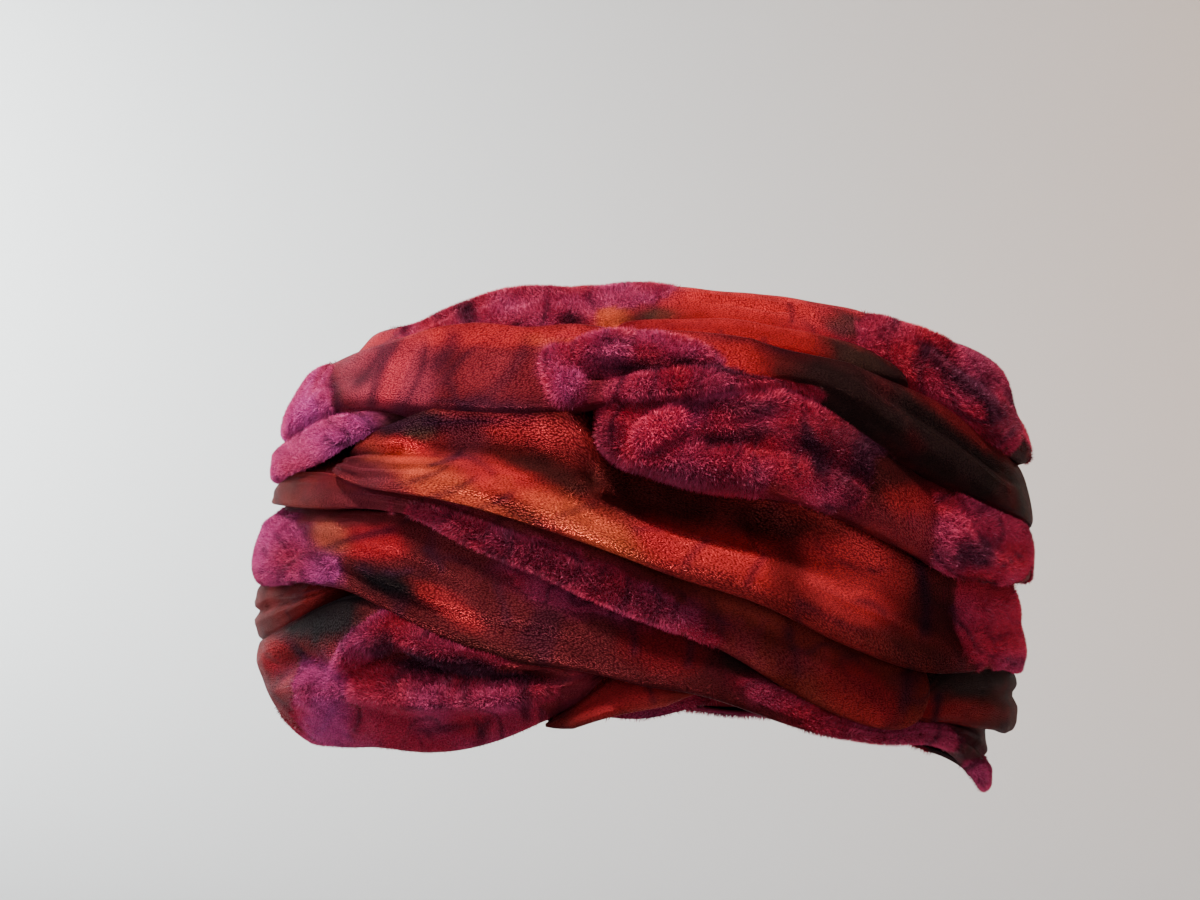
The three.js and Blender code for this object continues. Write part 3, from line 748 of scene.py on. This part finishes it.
def makeMesh(name, points, faces, maps, numbers, tint):
    fans = np.array([(f[0], f[k], f[k + 1]) for f in faces for k in range(1, len(f) - 1)])
    a, b, c = (points[fans[:, k]] for k in range(3))
    if (a * np.cross(b, c)).sum() < 0:  # turned inside out
        faces = [f[::-1] for f in faces]
    corners = np.concatenate(faces)
    starts = np.concatenate([[0], np.cumsum([len(f) for f in faces])[:-1]])
    mesh = bpy.data.meshes.new(name)
    mesh.vertices.add(len(points))
    mesh.vertices.foreach_set("co", (points * mm).astype(np.float32).ravel())
    mesh.loops.add(len(corners))
    mesh.loops.foreach_set("vertex_index", corners.astype(np.int32))
    mesh.polygons.add(len(faces))
    mesh.polygons.foreach_set("loop_start", starts.astype(np.int32))
    mesh.update(calc_edges=True)
    layer = mesh.uv_layers.new(name="cloth")
    layer.data.foreach_set("uv", (maps[corners] * mm).astype(np.float32).ravel())
    for key, values in numbers.items():
        mesh.attributes.new(key, "FLOAT", "POINT").data.foreach_set("value", values.astype(np.float32))
    rgba = np.concatenate([tint, np.ones((len(tint), 1))], 1).astype(np.float32)
    mesh.attributes.new("tint", "FLOAT_COLOR", "POINT").data.foreach_set("color", rgba.ravel())
    mesh.shade_smooth()
    mesh.validate()
    piece = bpy.data.objects.new(name, mesh)
    bpy.context.scene.collection.objects.link(piece)
    return piece


def closedCloth(outer, inner, faces, fields, shadedInnerTint, innerFirst):  # both faces, as makeMesh takes them
    def joined(front, back):  # values of the outer face, and what lies all over the inner one
        pair = [front, np.broadcast_to(back, inner.shape[:2] + front.shape[2:])]
        return np.concatenate(pair[::-1] if innerFirst else pair, 1).reshape((-1,) + front.shape[2:])

    maps = np.stack([joined(fields["along"], 0.0), joined(fields["across"], 0.0)], -1)
    numbers = {key: joined(fields[key], 0.0) for key in ("velvet", "pile", "shag")}
    return joined(outer, inner), faces, maps, numbers, joined(fields["tint"], shadedInnerTint)


# fine and coarse are degrees at the front and the back, face and back are points over a fold's two faces
detail = {"fine": 0.5, "coarse": 2.2, "face": 42, "back": 8, "crownStep": 2.0, "crownRings": 56}


def azimuthSteps(start, end):
    found = [start]
    while found[-1] < end - 1e-6:
        behind = float(smooth(88, 112, abs(wrap(found[-1]))))
        found.append(found[-1] + detail["fine"] + (detail["coarse"] - detail["fine"]) * behind)
    found = np.array(found)
    return start + (found - start) * (end - start) / (found[-1] - start)


def foldSpan(index):
    azimuth = np.arange(*folds[index]["span"], 0.1)
    creases = creasesAt(azimuth)
    wide = azimuth[creases[:, index] - creases[:, index + 1] - hat["creaseGap"] > hat["narrowest"]]
    return wide[0], wide[-1]


def archSteps(share, out, **options):  # from point to point down a usual fold
    down = np.diff(share, **options) * hat["usualHeight"]
    return np.hypot(down, np.diff(out, **options) * hat["usualSwell"])


def archPlaces(ridge, above, below, floors, steps):  # even places down a fold, and how far out each is
    turn = np.linspace(0, math.pi, 361)[None, :]
    upper = turn < math.pi / 2
    power = 2 / np.where(upper, above[:, None], below[:, None])
    cosine = np.cos(turn)
    share = ((1 - np.sign(cosine) * np.abs(cosine) ** power) / 2) ** (math.log(ridge) / math.log(0.5))
    out = np.clip(np.sin(turn), 0, 1) ** power
    floor = np.where(upper, floors[0][:, None], floors[1][:, None])
    seen = smooth(0.2, 0.5, np.maximum(out, 0.7 * floor))[:, 1:]
    seen = 0.3 + 0.7 * seen  # fewer points deep in the creases
    length = np.cumsum(archSteps(share, out) * seen, axis=1)
    length = np.concatenate([np.zeros((len(above), 1)), length], 1)
    at = np.linspace(0, 1, steps)

    def spaced(values):
        return np.stack([np.interp(at * run[-1], run, v) for run, v in zip(length, values)])

    return spaced(share), spaced(out)


def aboveRim(edge, creases):
    return smooth(1, 9, creases[:, edge] - creases[:, -1])


def creaseFloor(edge, azimuth, creases):  # how far out the bottom of a crease lies, as a share of the swell
    if edge == 0:
        return np.zeros(len(azimuth))
    fold, turned = folds[edge - 1], wrap(azimuth)
    floor = fold["floor"] + (hat["sideFloor"] - fold["floor"]) * smooth(*hat["sideTurn"], np.abs(turned))
    if fold["name"] == "upper_roll":  # the curl and the rose run together
        curl = np.exp(-(((turned - hat["curlAt"]) / hat["curlWide"]) ** 2))
        floor = floor + (hat["curlFloor"] - floor) * curl
    for row in rowsOn(shallowRows, fold["name"]):
        here = smooth(row["begins"], row["reached"], turned) * smooth(row["ends"], row["holds"], turned)
        floor = floor + (row["floor"] - floor) * here
    return floor * aboveRim(edge, creases)  # down to the crown at the rim


def buildFold(index):
    fold = folds[index]
    name, ridge = fold["name"], fold["ridge"]
    goesRound = fold["span"] is None
    ends = (-180.0, 180.0) if goesRound else foldSpan(index)
    ending = {**plainEnds, **foldEnds.get(name, {})}
    azimuth = azimuthSteps(*ends)
    if goesRound:
        azimuth = azimuth[:-1]
        inside = np.ones(len(azimuth))
    else:
        inside = np.minimum(azimuth - ends[0] - ending["sunk"], ends[1] - azimuth)
        inside = np.clip(inside / hat["endTaper"], 0, 1)
    rise = ending["full"] + (1 - ending["full"]) * np.sqrt(inside * (2 - inside))
    creases = creasesAt(azimuth)
    top = creases[:, index] - hat["creaseGap"] / 2
    foot = creases[:, index + 1] + hat["creaseGap"] / 2
    foot = foot - hat["lap"] * aboveRim(index + 1, creases) * smooth(2, 8, top - foot)
    tall = ending["tall"] + (1 - ending["tall"]) * np.sqrt(inside)  # drawn up at its ends
    foot = top - (top - foot) * tall
    slim = np.clip((top - foot) / hat["fullWidth"], 0.2, 1) ** 0.3
    puff = fold["full"] * swellAt(azimuth, top + (foot - top) * ridge) * slim * rise
    aside = smooth(-0.65, 0, -np.cos(np.radians(azimuth)))
    square = fold["square"] + (0 if name == "side_pouf" else hat["sideSquare"])
    above, below = (fold[half] + (square - fold[half]) * aside for half in ("above", "below"))

    floors = [creaseFloor(edge, azimuth, creases) for edge in (index, index + 1)]
    share, out = archPlaces(ridge, above, below, floors, detail["face"])
    floor = np.where(share < ridge, floors[0][:, None], floors[1][:, None])
    height = top[:, None] + (foot - top)[:, None] * share
    along = np.broadcast_to(np.radians(azimuth)[:, None] * hat["runRadius"], share.shape)
    across = hat["patternStep"] * index + np.cumsum(archSteps(share, out, prepend=0), axis=1)
    relief = reliefOn(index, azimuth[:, None], share, along, across, np.maximum(out, 1.6 * (floor - 0.45)))
    away = np.maximum(puff[:, None] * (floor + (1 - floor) * out) + relief * rise[:, None], 0)
    if index > 0:  # the top fold has none above it to run behind
        behind = np.array([[1.0, 0.4]])
        tuckHeight = top[:, None] + hat["tuck"] * behind
        tuckAway = np.maximum((puff * floors[0])[:, None] - hat["tuckDepth"] - behind, 0) + hat["foldWall"]
        height, away = (np.concatenate(pair, 1) for pair in ((tuckHeight, height), (tuckAway, away)))
        along, across, out = (np.concatenate([v[:, :2], v], 1) for v in (along, across, out))
    away = hat["crownGap"] + away

    drawn = printOn(name, placeOnHat(azimuth[:, None], height, away), along, across)
    outer = placeOnHat(azimuth[:, None], height, away + drawn["raised"] * smooth(0.05, 0.4, out))
    picks = np.linspace(0, height.shape[1] - 1, detail["back"]).round().astype(int)
    spans = zip(np.concatenate([picks[:1], picks[:-1]]), np.concatenate([picks[1:], picks[-1:]]))
    under = np.stack([away[:, s : e + 1].min(1) for s, e in spans], 1) - hat["foldWall"]
    lowest, highest = height.min(1, keepdims=True), height.max(1, keepdims=True)
    within = np.clip(height[:, picks], lowest + hat["foldWall"], highest - hat["foldWall"])
    inner = placeOnHat(azimuth[:, None], within, np.maximum(under, hat["crownGap"]))[:, ::-1]

    columns = outer.shape[1] + inner.shape[1]
    faces = gridFaces(len(azimuth), columns, goesRound, True)
    if not goesRound:
        faces += [np.arange(columns), (len(azimuth) - 1) * columns + np.arange(columns)[::-1]]
    hidden = smooth(92, 112, np.abs(wrap(azimuth)))[:, None]  # fewer and longer tufts behind
    fields = {
        "along": along,
        "across": across,
        "tint": drawn["tint"],
        "velvet": drawn["pile"],
        "pile": drawn["pile"] * smooth(0.05, 0.25, out) * (1 - 0.84 * hidden),
        "shag": drawn["shag"] * (1 + 0.5 * hidden),
    }
    # the inner face takes the fold's ground at half strength: painted shade
    return closedCloth(outer, inner, faces, fields, grounds[name] * 0.5, False)


crownLook = {
    "dropAt": 1,  # the hem dips at the front
    "dropWide": 11,
    "gathers": (97.5, 100.5),  # heights between which they rise inside the top fold
    "smoothFrom": 102.5,  # and from which they fade to the top
    "deepest": -0.3,
    "topShown": (98, 99.5),  # its velvet shows inside the top fold
    "hemShown": (7, 3),  # and near the hem
    "raise": 0.4,
    "pile": 0.3,  # thinner and longer than on the folds
    "shag": 1.3,
}


def buildCrown(look):
    azimuth = np.arange(-180, 180, detail["crownStep"])
    drop = hat["frontDrop"] * np.exp(-((azimuth - look["dropAt"]) / look["dropWide"]) ** 2)
    hem = creasesAt(azimuth)[:, -1] + hat["hemRise"] - drop
    rise = np.sin(np.linspace(0, math.pi / 2, detail["crownRings"] + 1)[:-1])[None, :]
    height = hem[:, None] + (hat["crownHeight"] - hem)[:, None] * rise
    turn = np.radians(azimuth)[:, None]
    along = np.broadcast_to(turn * hat["crownRunRadius"], height.shape)
    across = height * 1.5
    gathers = noise(14 * np.sin(turn), 14 * np.cos(turn), height / 14, 71)
    gathers = gathers + 0.6 * noise(7 * np.sin(turn), 7 * np.cos(turn), 0, 72)
    lift = gathers * smooth(*look["gathers"], height)
    lift = lift * smooth(hat["crownHeight"], look["smoothFrom"], height)
    drawn = printOn("crown", placeOnHat(azimuth[:, None], height, 0 * height), along, across)
    shown = smooth(*look["topShown"], height)
    shown = np.maximum(shown, smooth(*look["hemShown"], height - hem[:, None]))
    lift = np.maximum(lift, look["deepest"]) + look["raise"] * drawn["pile"] * shown
    outer = placeOnHat(azimuth[:, None], height, lift)
    inner = placeOnHat(azimuth[:, None], height, np.full(height.shape, -hat["crownWall"]))[:, ::-1]
    columns = 2 * height.shape[1]
    faces = gridFaces(len(azimuth), columns, True, False)
    first = np.arange(len(azimuth)) * columns
    faces += [first[::-1], first + columns - 1]
    fields = {
        "along": along,
        "across": across,
        "tint": drawn["tint"],
        "velvet": drawn["pile"] * shown,
        "pile": drawn["pile"] * shown * look["pile"],
        "shag": drawn["shag"] * look["shag"],
    }
    # the crown's inner face takes its ground at 0.6: painted shade
    return closedCloth(outer, inner, faces, fields, grounds["crown"] * 0.6, True)


# nodes
def setInputs(tree, node, inputs):  # a link where a socket is given, a value where it isn't
    for key, value in inputs.items():
        if isinstance(value, bpy.types.NodeSocket):
            tree.links.new(value, node.inputs[key])
        else:
            node.inputs[key].default_value = value


def addNode(tree, kind, inputs=None, **settings):
    node = tree.nodes.new(kind)
    for label, value in settings.items():
        setattr(node, label, value)
    setInputs(tree, node, inputs or {})
    return node


def addSockets(tree, way, sockets):
    for label, kind in sockets.items():
        tree.interface.new_socket(label, in_out=way, socket_type="NodeSocket" + kind)


def mathNode(tree, operation, *values):
    return addNode(tree, "ShaderNodeMath", dict(enumerate(values)), operation=operation).outputs[0]


def vectorNode(tree, operation, first, second):
    key = "Scale" if operation == "SCALE" else 1
    return addNode(tree, "ShaderNodeVectorMath", {0: first, key: second}, operation=operation).outputs[0]


def mapRange(tree, value, low, high, toLow, toHigh):
    ends = {"Value": value, "From Min": low, "From Max": high, "To Min": toLow, "To Max": toHigh}
    return addNode(tree, "ShaderNodeMapRange", ends).outputs["Result"]


def attribute(tree, name):
    return addNode(tree, "ShaderNodeAttribute", attribute_name=name).outputs


# materials
def newMaterial(name):
    material = bpy.data.materials.new(name)
    material.use_nodes = True
    tree = material.node_tree
    tree.nodes.clear()
    shader = addNode(tree, "ShaderNodeBsdfPrincipled")
    addNode(tree, "ShaderNodeOutputMaterial", {"Surface": shader.outputs["BSDF"]})
    return material, tree, shader


figuredLook = {
    "fineness": 2700.0,  # slubs per metre
    "stretch": (0.6, 1.5, 1.0),
    "coarse": 1000.0,  # scale of the slower change, and its share
    "coarseShare": 0.4,
    "bump": 0.0005,
    "depth": 0.9,
    "shadeFrom": (0.4, 1.08),  # grain from which the shade runs, and the gloss
    "glossFrom": (0.55, 1.05),
    "sparkle": 2.2,  # the higher, the fewer bright slubs, which are painted glints
    "valley": (0.56, 0.5, 0.58),  # tint between the slubs, and on their crests, where the brighter, golder crest is partly the cloth's grain and partly a painted glint
    "crest": (1.7, 2.1, 1.7),
    "satinRoughness": (0.52, 0.36),
    "velvetRoughness": 0.95,
    "metallic": 0.58,
    "specular": 0.03,
    "specularTint": (0.06, 0.012, 0.012, 1.0),
}


def grainGroup(look):  # short slubs along the cloth: a value for shade and gloss, and a bumped normal
    group = bpy.data.node_groups.new("clothGrain", "ShaderNodeTree")
    addSockets(group, "INPUT", {"Coordinates": "Vector", "Fineness": "Float", "Depth": "Float"})
    addSockets(group, "OUTPUT", {"Grain": "Float", "Normal": "Vector"})
    start = addNode(group, "NodeGroupInput").outputs
    place = {"Vector": start["Coordinates"], "Scale": look["stretch"]}
    place = addNode(group, "ShaderNodeMapping", place).outputs["Vector"]
    fine = {"Vector": place, "Scale": start["Fineness"]}
    fine = addNode(group, "ShaderNodeTexVoronoi", fine, voronoi_dimensions="2D")
    coarse = addNode(group, "ShaderNodeTexNoise", {"Vector": place, "Scale": look["coarse"], "Detail": 3.0})
    crest = mathNode(group, "SUBTRACT", 1.0, fine.outputs["Distance"])
    grain = mathNode(group, "MULTIPLY_ADD", coarse.outputs["Fac"], look["coarseShare"], crest)
    bump = {"Height": crest, "Strength": start["Depth"], "Distance": look["bump"]}
    bump = addNode(group, "ShaderNodeBump", bump)
    addNode(group, "NodeGroupOutput", {"Grain": grain, "Normal": bump.outputs["Normal"]})
    return group


def figuredCloth(look):
    material, tree, shader = newMaterial("figuredCloth")
    place = addNode(tree, "ShaderNodeUVMap", uv_map="cloth").outputs["UV"]
    slubs = {"Coordinates": place, "Fineness": look["fineness"], "Depth": look["depth"]}
    group = tree.nodes.new("ShaderNodeGroup")
    group.node_tree = grainGroup(look)
    setInputs(tree, group, slubs)
    grain = group.outputs["Grain"]
    # the grain lightens the base colour on its crests: partly grain, partly painted glints
    bright = mathNode(tree, "POWER", mapRange(tree, grain, *look["shadeFrom"], 0.0, 1.0), look["sparkle"])
    level = addNode(tree, "ShaderNodeMix", data_type="VECTOR")
    setInputs(tree, level, {0: bright, 4: look["valley"], 5: look["crest"]})
    gloss = mapRange(tree, grain, *look["glossFrom"], *look["satinRoughness"])
    rough = {"Factor": attribute(tree, "velvet")["Fac"], "A": gloss, "B": look["velvetRoughness"]}
    rough = addNode(tree, "ShaderNodeMix", rough, data_type="FLOAT")
    setInputs(tree, shader, {
        "Base Color": vectorNode(tree, "MULTIPLY", attribute(tree, "tint")["Color"], level.outputs[1]),
        "Roughness": rough.outputs["Result"],
        "Normal": group.outputs["Normal"],
        "Metallic": look["metallic"],
        "Specular IOR Level": look["specular"],
        "Specular Tint": look["specularTint"],
    })
    return material


pileShade = {
    "root": 0.4,  # of the cloth's tint, at the root: painted shade among the blades
    # the tip is lighter: painted sheen
    "tip": 1.95,
    "glintFrom": 0.96,  # the blades above this get a painted glint on the tip
    "glintShare": 0.7,
    "glint": (0.8, 0.2, 0.36, 1.0),
    "roughness": 0.45,
    "specular": 0.12,
    "specularTint": (1.0, 0.55, 0.7, 1.0),
    "sheen": 0.03,
    "sheenTint": (0.95, 0.35, 0.65, 1.0),
}


def pileCloth(look):
    material, tree, shader = newMaterial("pile")
    tip = attribute(tree, "tip")["Fac"]
    # darker at the root and lighter at the tip: painted shade and painted sheen; some tips take a painted
    # glint
    level = mapRange(tree, tip, 0.0, 1.0, look["root"], look["tip"])
    shaded = vectorNode(tree, "SCALE", attribute(tree, "tint")["Color"], level)
    glint = attribute(tree, "glint")["Fac"]
    bright = mapRange(tree, glint, look["glintFrom"], 1.0, 0.0, look["glintShare"])
    shine = {0: mathNode(tree, "MULTIPLY", bright, tip), 6: shaded, 7: look["glint"]}
    shine = addNode(tree, "ShaderNodeMix", shine, data_type="RGBA")
    setInputs(tree, shader, {
        "Base Color": shine.outputs[2],
        "Roughness": look["roughness"],
        "Specular IOR Level": look["specular"],
        "Specular Tint": look["specularTint"],
        "Sheen Weight": look["sheen"],
        "Sheen Tint": look["sheenTint"],
    })
    return material


figured, pile = figuredCloth(figuredLook), pileCloth(pileShade)


# pile
def randomVector(tree, low, high, seed):
    draw = {0: low, 1: high, "Seed": seed}
    return addNode(tree, "FunctionNodeRandomValue", draw, data_type="FLOAT_VECTOR").outputs[0]


def randomNumber(tree, low, high, seed):
    draw = {2: low, 3: high, "Seed": seed}
    return addNode(tree, "FunctionNodeRandomValue", draw, data_type="FLOAT").outputs[1]


def namedNumber(tree, name):
    node = addNode(tree, "GeometryNodeInputNamedAttribute", {"Name": name}, data_type="FLOAT")
    return node.outputs["Attribute"]


def storeNumber(tree, geometry, name, value):
    kept = {"Geometry": geometry, "Name": name, "Value": value}
    node = addNode(tree, "GeometryNodeStoreNamedAttribute", kept, data_type="FLOAT", domain="POINT")
    return node.outputs["Geometry"]


pileLook = {"Density": 20.8e6, "Length": 0.0011, "Width": 0.0002, "Splay": 0.6, "Nap": 2.6, "Seed": 3}
napScale = 150.0  # swirls per metre


def pileTree():  # blades of pile stood on a cloth where its pile attribute says
    tree = bpy.data.node_groups.new("pileTufts", "GeometryNodeTree")
    numbers = dict.fromkeys(("Density", "Length", "Width", "Splay", "Nap"), "Float")
    addSockets(tree, "INPUT", {"Geometry": "Geometry", **numbers, "Seed": "Int", "Material": "Material"})
    addSockets(tree, "OUTPUT", {"Geometry": "Geometry"})
    start = addNode(tree, "NodeGroupInput").outputs
    blade = {"Vertices": 3, "Radius": 2 / 3}  # a triangle with its tip up, one by one
    blade = addNode(tree, "GeometryNodeMeshCircle", blade, fill_type="NGON").outputs["Mesh"]
    blade = {"Geometry": blade, "Rotation": (0.0, -math.pi / 2, 0.0), "Translation": (0.0, 0.0, 1 / 3)}
    blade = addNode(tree, "GeometryNodeTransform", blade).outputs["Geometry"]
    spot = addNode(tree, "GeometryNodeInputPosition").outputs["Position"]
    up = addNode(tree, "ShaderNodeSeparateXYZ", {"Vector": spot}).outputs["Z"]
    blade = storeNumber(tree, blade, "tip", up)
    size = addNode(tree, "ShaderNodeCombineXYZ", {"X": 1.0, "Y": start["Width"], "Z": start["Length"]})
    blade = addNode(tree, "GeometryNodeTransform", {"Geometry": blade, "Scale": size.outputs["Vector"]})

    density = mathNode(tree, "MULTIPLY", namedNumber(tree, "pile"), start["Density"])
    roots = {"Mesh": start["Geometry"], "Density": density, "Seed": start["Seed"]}
    roots = addNode(tree, "GeometryNodeDistributePointsOnFaces", roots).outputs
    points = storeNumber(tree, roots["Points"], "glint", randomNumber(tree, 0.0, 1.0, 2))
    splay = vectorNode(tree, "SCALE", randomVector(tree, (-1.0,) * 3, (1.0,) * 3, 1), start["Splay"])
    spot = addNode(tree, "GeometryNodeInputPosition").outputs["Position"]
    nap = addNode(tree, "ShaderNodeTexNoise", {"Vector": spot, "Scale": napScale, "Detail": 2.0})
    swirl = vectorNode(tree, "SUBTRACT", nap.outputs["Color"], (0.5, 0.5, 0.56))  # the pile lies in swirls
    swirl = vectorNode(tree, "SCALE", swirl, start["Nap"])
    leaning = vectorNode(tree, "ADD", vectorNode(tree, "ADD", roots["Normal"], splay), swirl)
    turned = addNode(tree, "FunctionNodeAlignRotationToVector", {"Vector": leaning}, axis="Z")
    twist = randomVector(tree, (0.0, 0.0, -math.pi), (0.0, 0.0, math.pi), 4)
    twist = {"Rotation": turned.outputs["Rotation"], "Rotate By": twist}
    twist = addNode(tree, "FunctionNodeRotateRotation", twist, rotation_space="LOCAL")
    grown = mathNode(tree, "MULTIPLY", namedNumber(tree, "shag"), randomNumber(tree, 0.6, 1.25, 9))
    tufts = {"Points": points, "Instance": blade.outputs["Geometry"], "Scale": grown}
    tufts = addNode(tree, "GeometryNodeInstanceOnPoints", {**tufts, "Rotation": twist.outputs["Rotation"]})
    real = addNode(tree, "GeometryNodeRealizeInstances", {"Geometry": tufts.outputs["Instances"]})
    painted = {"Geometry": real.outputs["Geometry"], "Material": start["Material"]}
    painted = addNode(tree, "GeometryNodeSetMaterial", painted)
    addNode(tree, "NodeGroupOutput", {"Geometry": painted.outputs["Geometry"]})
    return tree


tufts = pileTree()
tuftInputs = {item.name: item.identifier for item in tufts.interface.items_tree if item.in_out == "INPUT"}


def growPile(cloth, look):
    holder = bpy.data.objects.new(cloth.name + "_pile", cloth.data)
    bpy.context.scene.collection.objects.link(holder)
    modifier = holder.modifiers.new("tufts", "NODES")
    modifier.node_group = tufts
    for label, value in look.items():
        modifier[tuftInputs[label]] = value
    modifier[tuftInputs["Material"]] = pile
    bpy.context.view_layer.update()
    evaluated = holder.evaluated_get(bpy.context.evaluated_depsgraph_get())
    mesh = bpy.data.meshes.new_from_object(evaluated)
    holder.modifiers.clear()
    holder.data = mesh
    if mesh.polygons:
        return [holder]
    bpy.data.objects.remove(holder)  # a fold that shows satin alone
    bpy.data.meshes.remove(mesh)
    return []


# dressing
def dress(name, built, slot, nodes, cut, held, restsOn, area=None):  # a cloth with its pile
    cloth = makeMesh(name + "_cloth", *built)
    cloth.data.materials.append(figured)
    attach(cloth, "root")
    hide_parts(*nodes)
    grown = growPile(cloth, pileLook)
    for tuft in grown:
        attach(tuft, "root")
    surface = sum(p.area for p in cloth.data.polygons) / 2
    share = surface / (area or cut[0] * cut[1])
    blades = sum(len(tuft.data.polygons) for tuft in grown)
    print(name, len(cloth.data.polygons), "faces,", round(share, 2), "of its cut,", blades, "tufts")
    return len(cloth.data.polygons) * 2 + blades


crown = {"slot": "crown_cloth", "nodes": ("crown_top", "crown_side"), "cut": (0.29, 0.32), "area": 0.066}
triangles = dress("crown", buildCrown(crownLook), held="stretched", restsOn="head_seat", **crown)
for index, fold in enumerate(folds):
    name = fold["name"]
    held = "gathered" if name == "side_pouf" else "folded"
    triangles += dress(name, buildFold(index), fold["slot"], (name,), fold["cut"], held, "crown_cloth")
print("hat dressed,", triangles, "triangles")

# stage
stage = {
    "floor": -0.16,
    "front": -2.5,
    "wall": 1.5,
    "bend": 0.8,
    "reach": 4.0,
    "height": 3.0,
    "paper": (0.78, 0.77, 0.75, 1.0),
    "roughness": 0.9,
}


def makeStage(look):
    low, back, bend = look["floor"], look["wall"], look["bend"]
    profile = [(look["front"], low)]
    for t in np.linspace(0, math.pi / 2, 17):
        profile.append((back - bend + bend * math.sin(t), low + bend - bend * math.cos(t)))
    profile.append((back, look["height"]))
    points = [(x, y, z) for y, z in profile for x in (-look["reach"], look["reach"])]
    faces = [(2 * n, 2 * n + 1, 2 * n + 3, 2 * n + 2) for n in range(len(profile) - 1)]
    mesh = bpy.data.meshes.new("stage")
    mesh.from_pydata(points, [], faces)
    mesh.shade_smooth()
    material, tree, shader = newMaterial("stagePaper")
    setInputs(tree, shader, {"Base Color": look["paper"], "Roughness": look["roughness"]})
    mesh.materials.append(material)
    sweep = bpy.data.objects.new("stage", mesh)
    bpy.context.scene.collection.objects.link(sweep)


makeStage(stage)

lightColumns = ["name", "at", "aim", "size", "power", "tint", "spread"]
lightTable = [
    ["keyLight", (-0.35, -0.6, 1.12), (-0.01, -0.09, 0.1), (0.2, 0.18), 1.0, (1.0, 0.92, 0.85), 28],
    ["windowLight", (-1.5, -0.1, 0.5), (0.0, 0.0, 0.06), (0.8, 1.2), 20.0, (0.85, 0.9, 1.0), 120],
    ["roomLight", (0.4, -1.5, 0.05), (0.0, -0.05, 0.04), (0.8, 0.8), 2.0, (0.92, 0.95, 1.0), 60],
    ["wallLeft", (-1.4, 1.1, 0.6), (-0.7, 1.5, 0.3), (0.8, 0.8), 31.0, (0.9, 0.97, 1.0), 110],
    ["wallRight", (1.5, 0.2, 1.4), (0.7, 1.5, 0.3), (1.0, 0.8), 5.0, (1.0, 0.45, 0.12), 84],
]
for row in rowsOf(lightColumns, lightTable):
    data = bpy.data.lights.new(row["name"], "AREA")
    data.shape = "RECTANGLE"
    data.size, data.size_y = row["size"]
    data.energy = row["power"]
    data.color = row["tint"]
    data.spread = math.radians(row["spread"])
    lamp = bpy.data.objects.new(row["name"], data)
    lamp.location = row["at"]
    lamp.rotation_euler = (Vector(row["aim"]) - Vector(row["at"])).to_track_quat("-Z", "Y").to_euler()
    bpy.context.scene.collection.objects.link(lamp)

room = {"Color": (0.8, 0.88, 1.0, 1.0), "Strength": 0.11}
world = bpy.data.worlds.new("room")
world.use_nodes = True
setInputs(world.node_tree, world.node_tree.nodes["Background"], room)
bpy.context.scene.world = world

wide, high = camera["frame"]
view = bpy.data.cameras.new("camera")
view.sensor_width = camera["sensor"]
view.lens = camera["sensor"] * camera["focal"] / wide
eye = bpy.data.objects.new("camera", view)
eye.location = (0.0, -camera["distance"] * mm, camera["height"] * mm)
pitch = math.atan((camera["horizonPixel"] - high / 2) / camera["focal"])
yaw = math.atan((camera["axisPixel"] - wide / 2) / camera["focal"])
eye.rotation_euler = (math.pi / 2 + pitch, 0.0, yaw)
bpy.context.scene.collection.objects.link(eye)
bpy.context.scene.camera = eye
print("stage, lights and camera set")
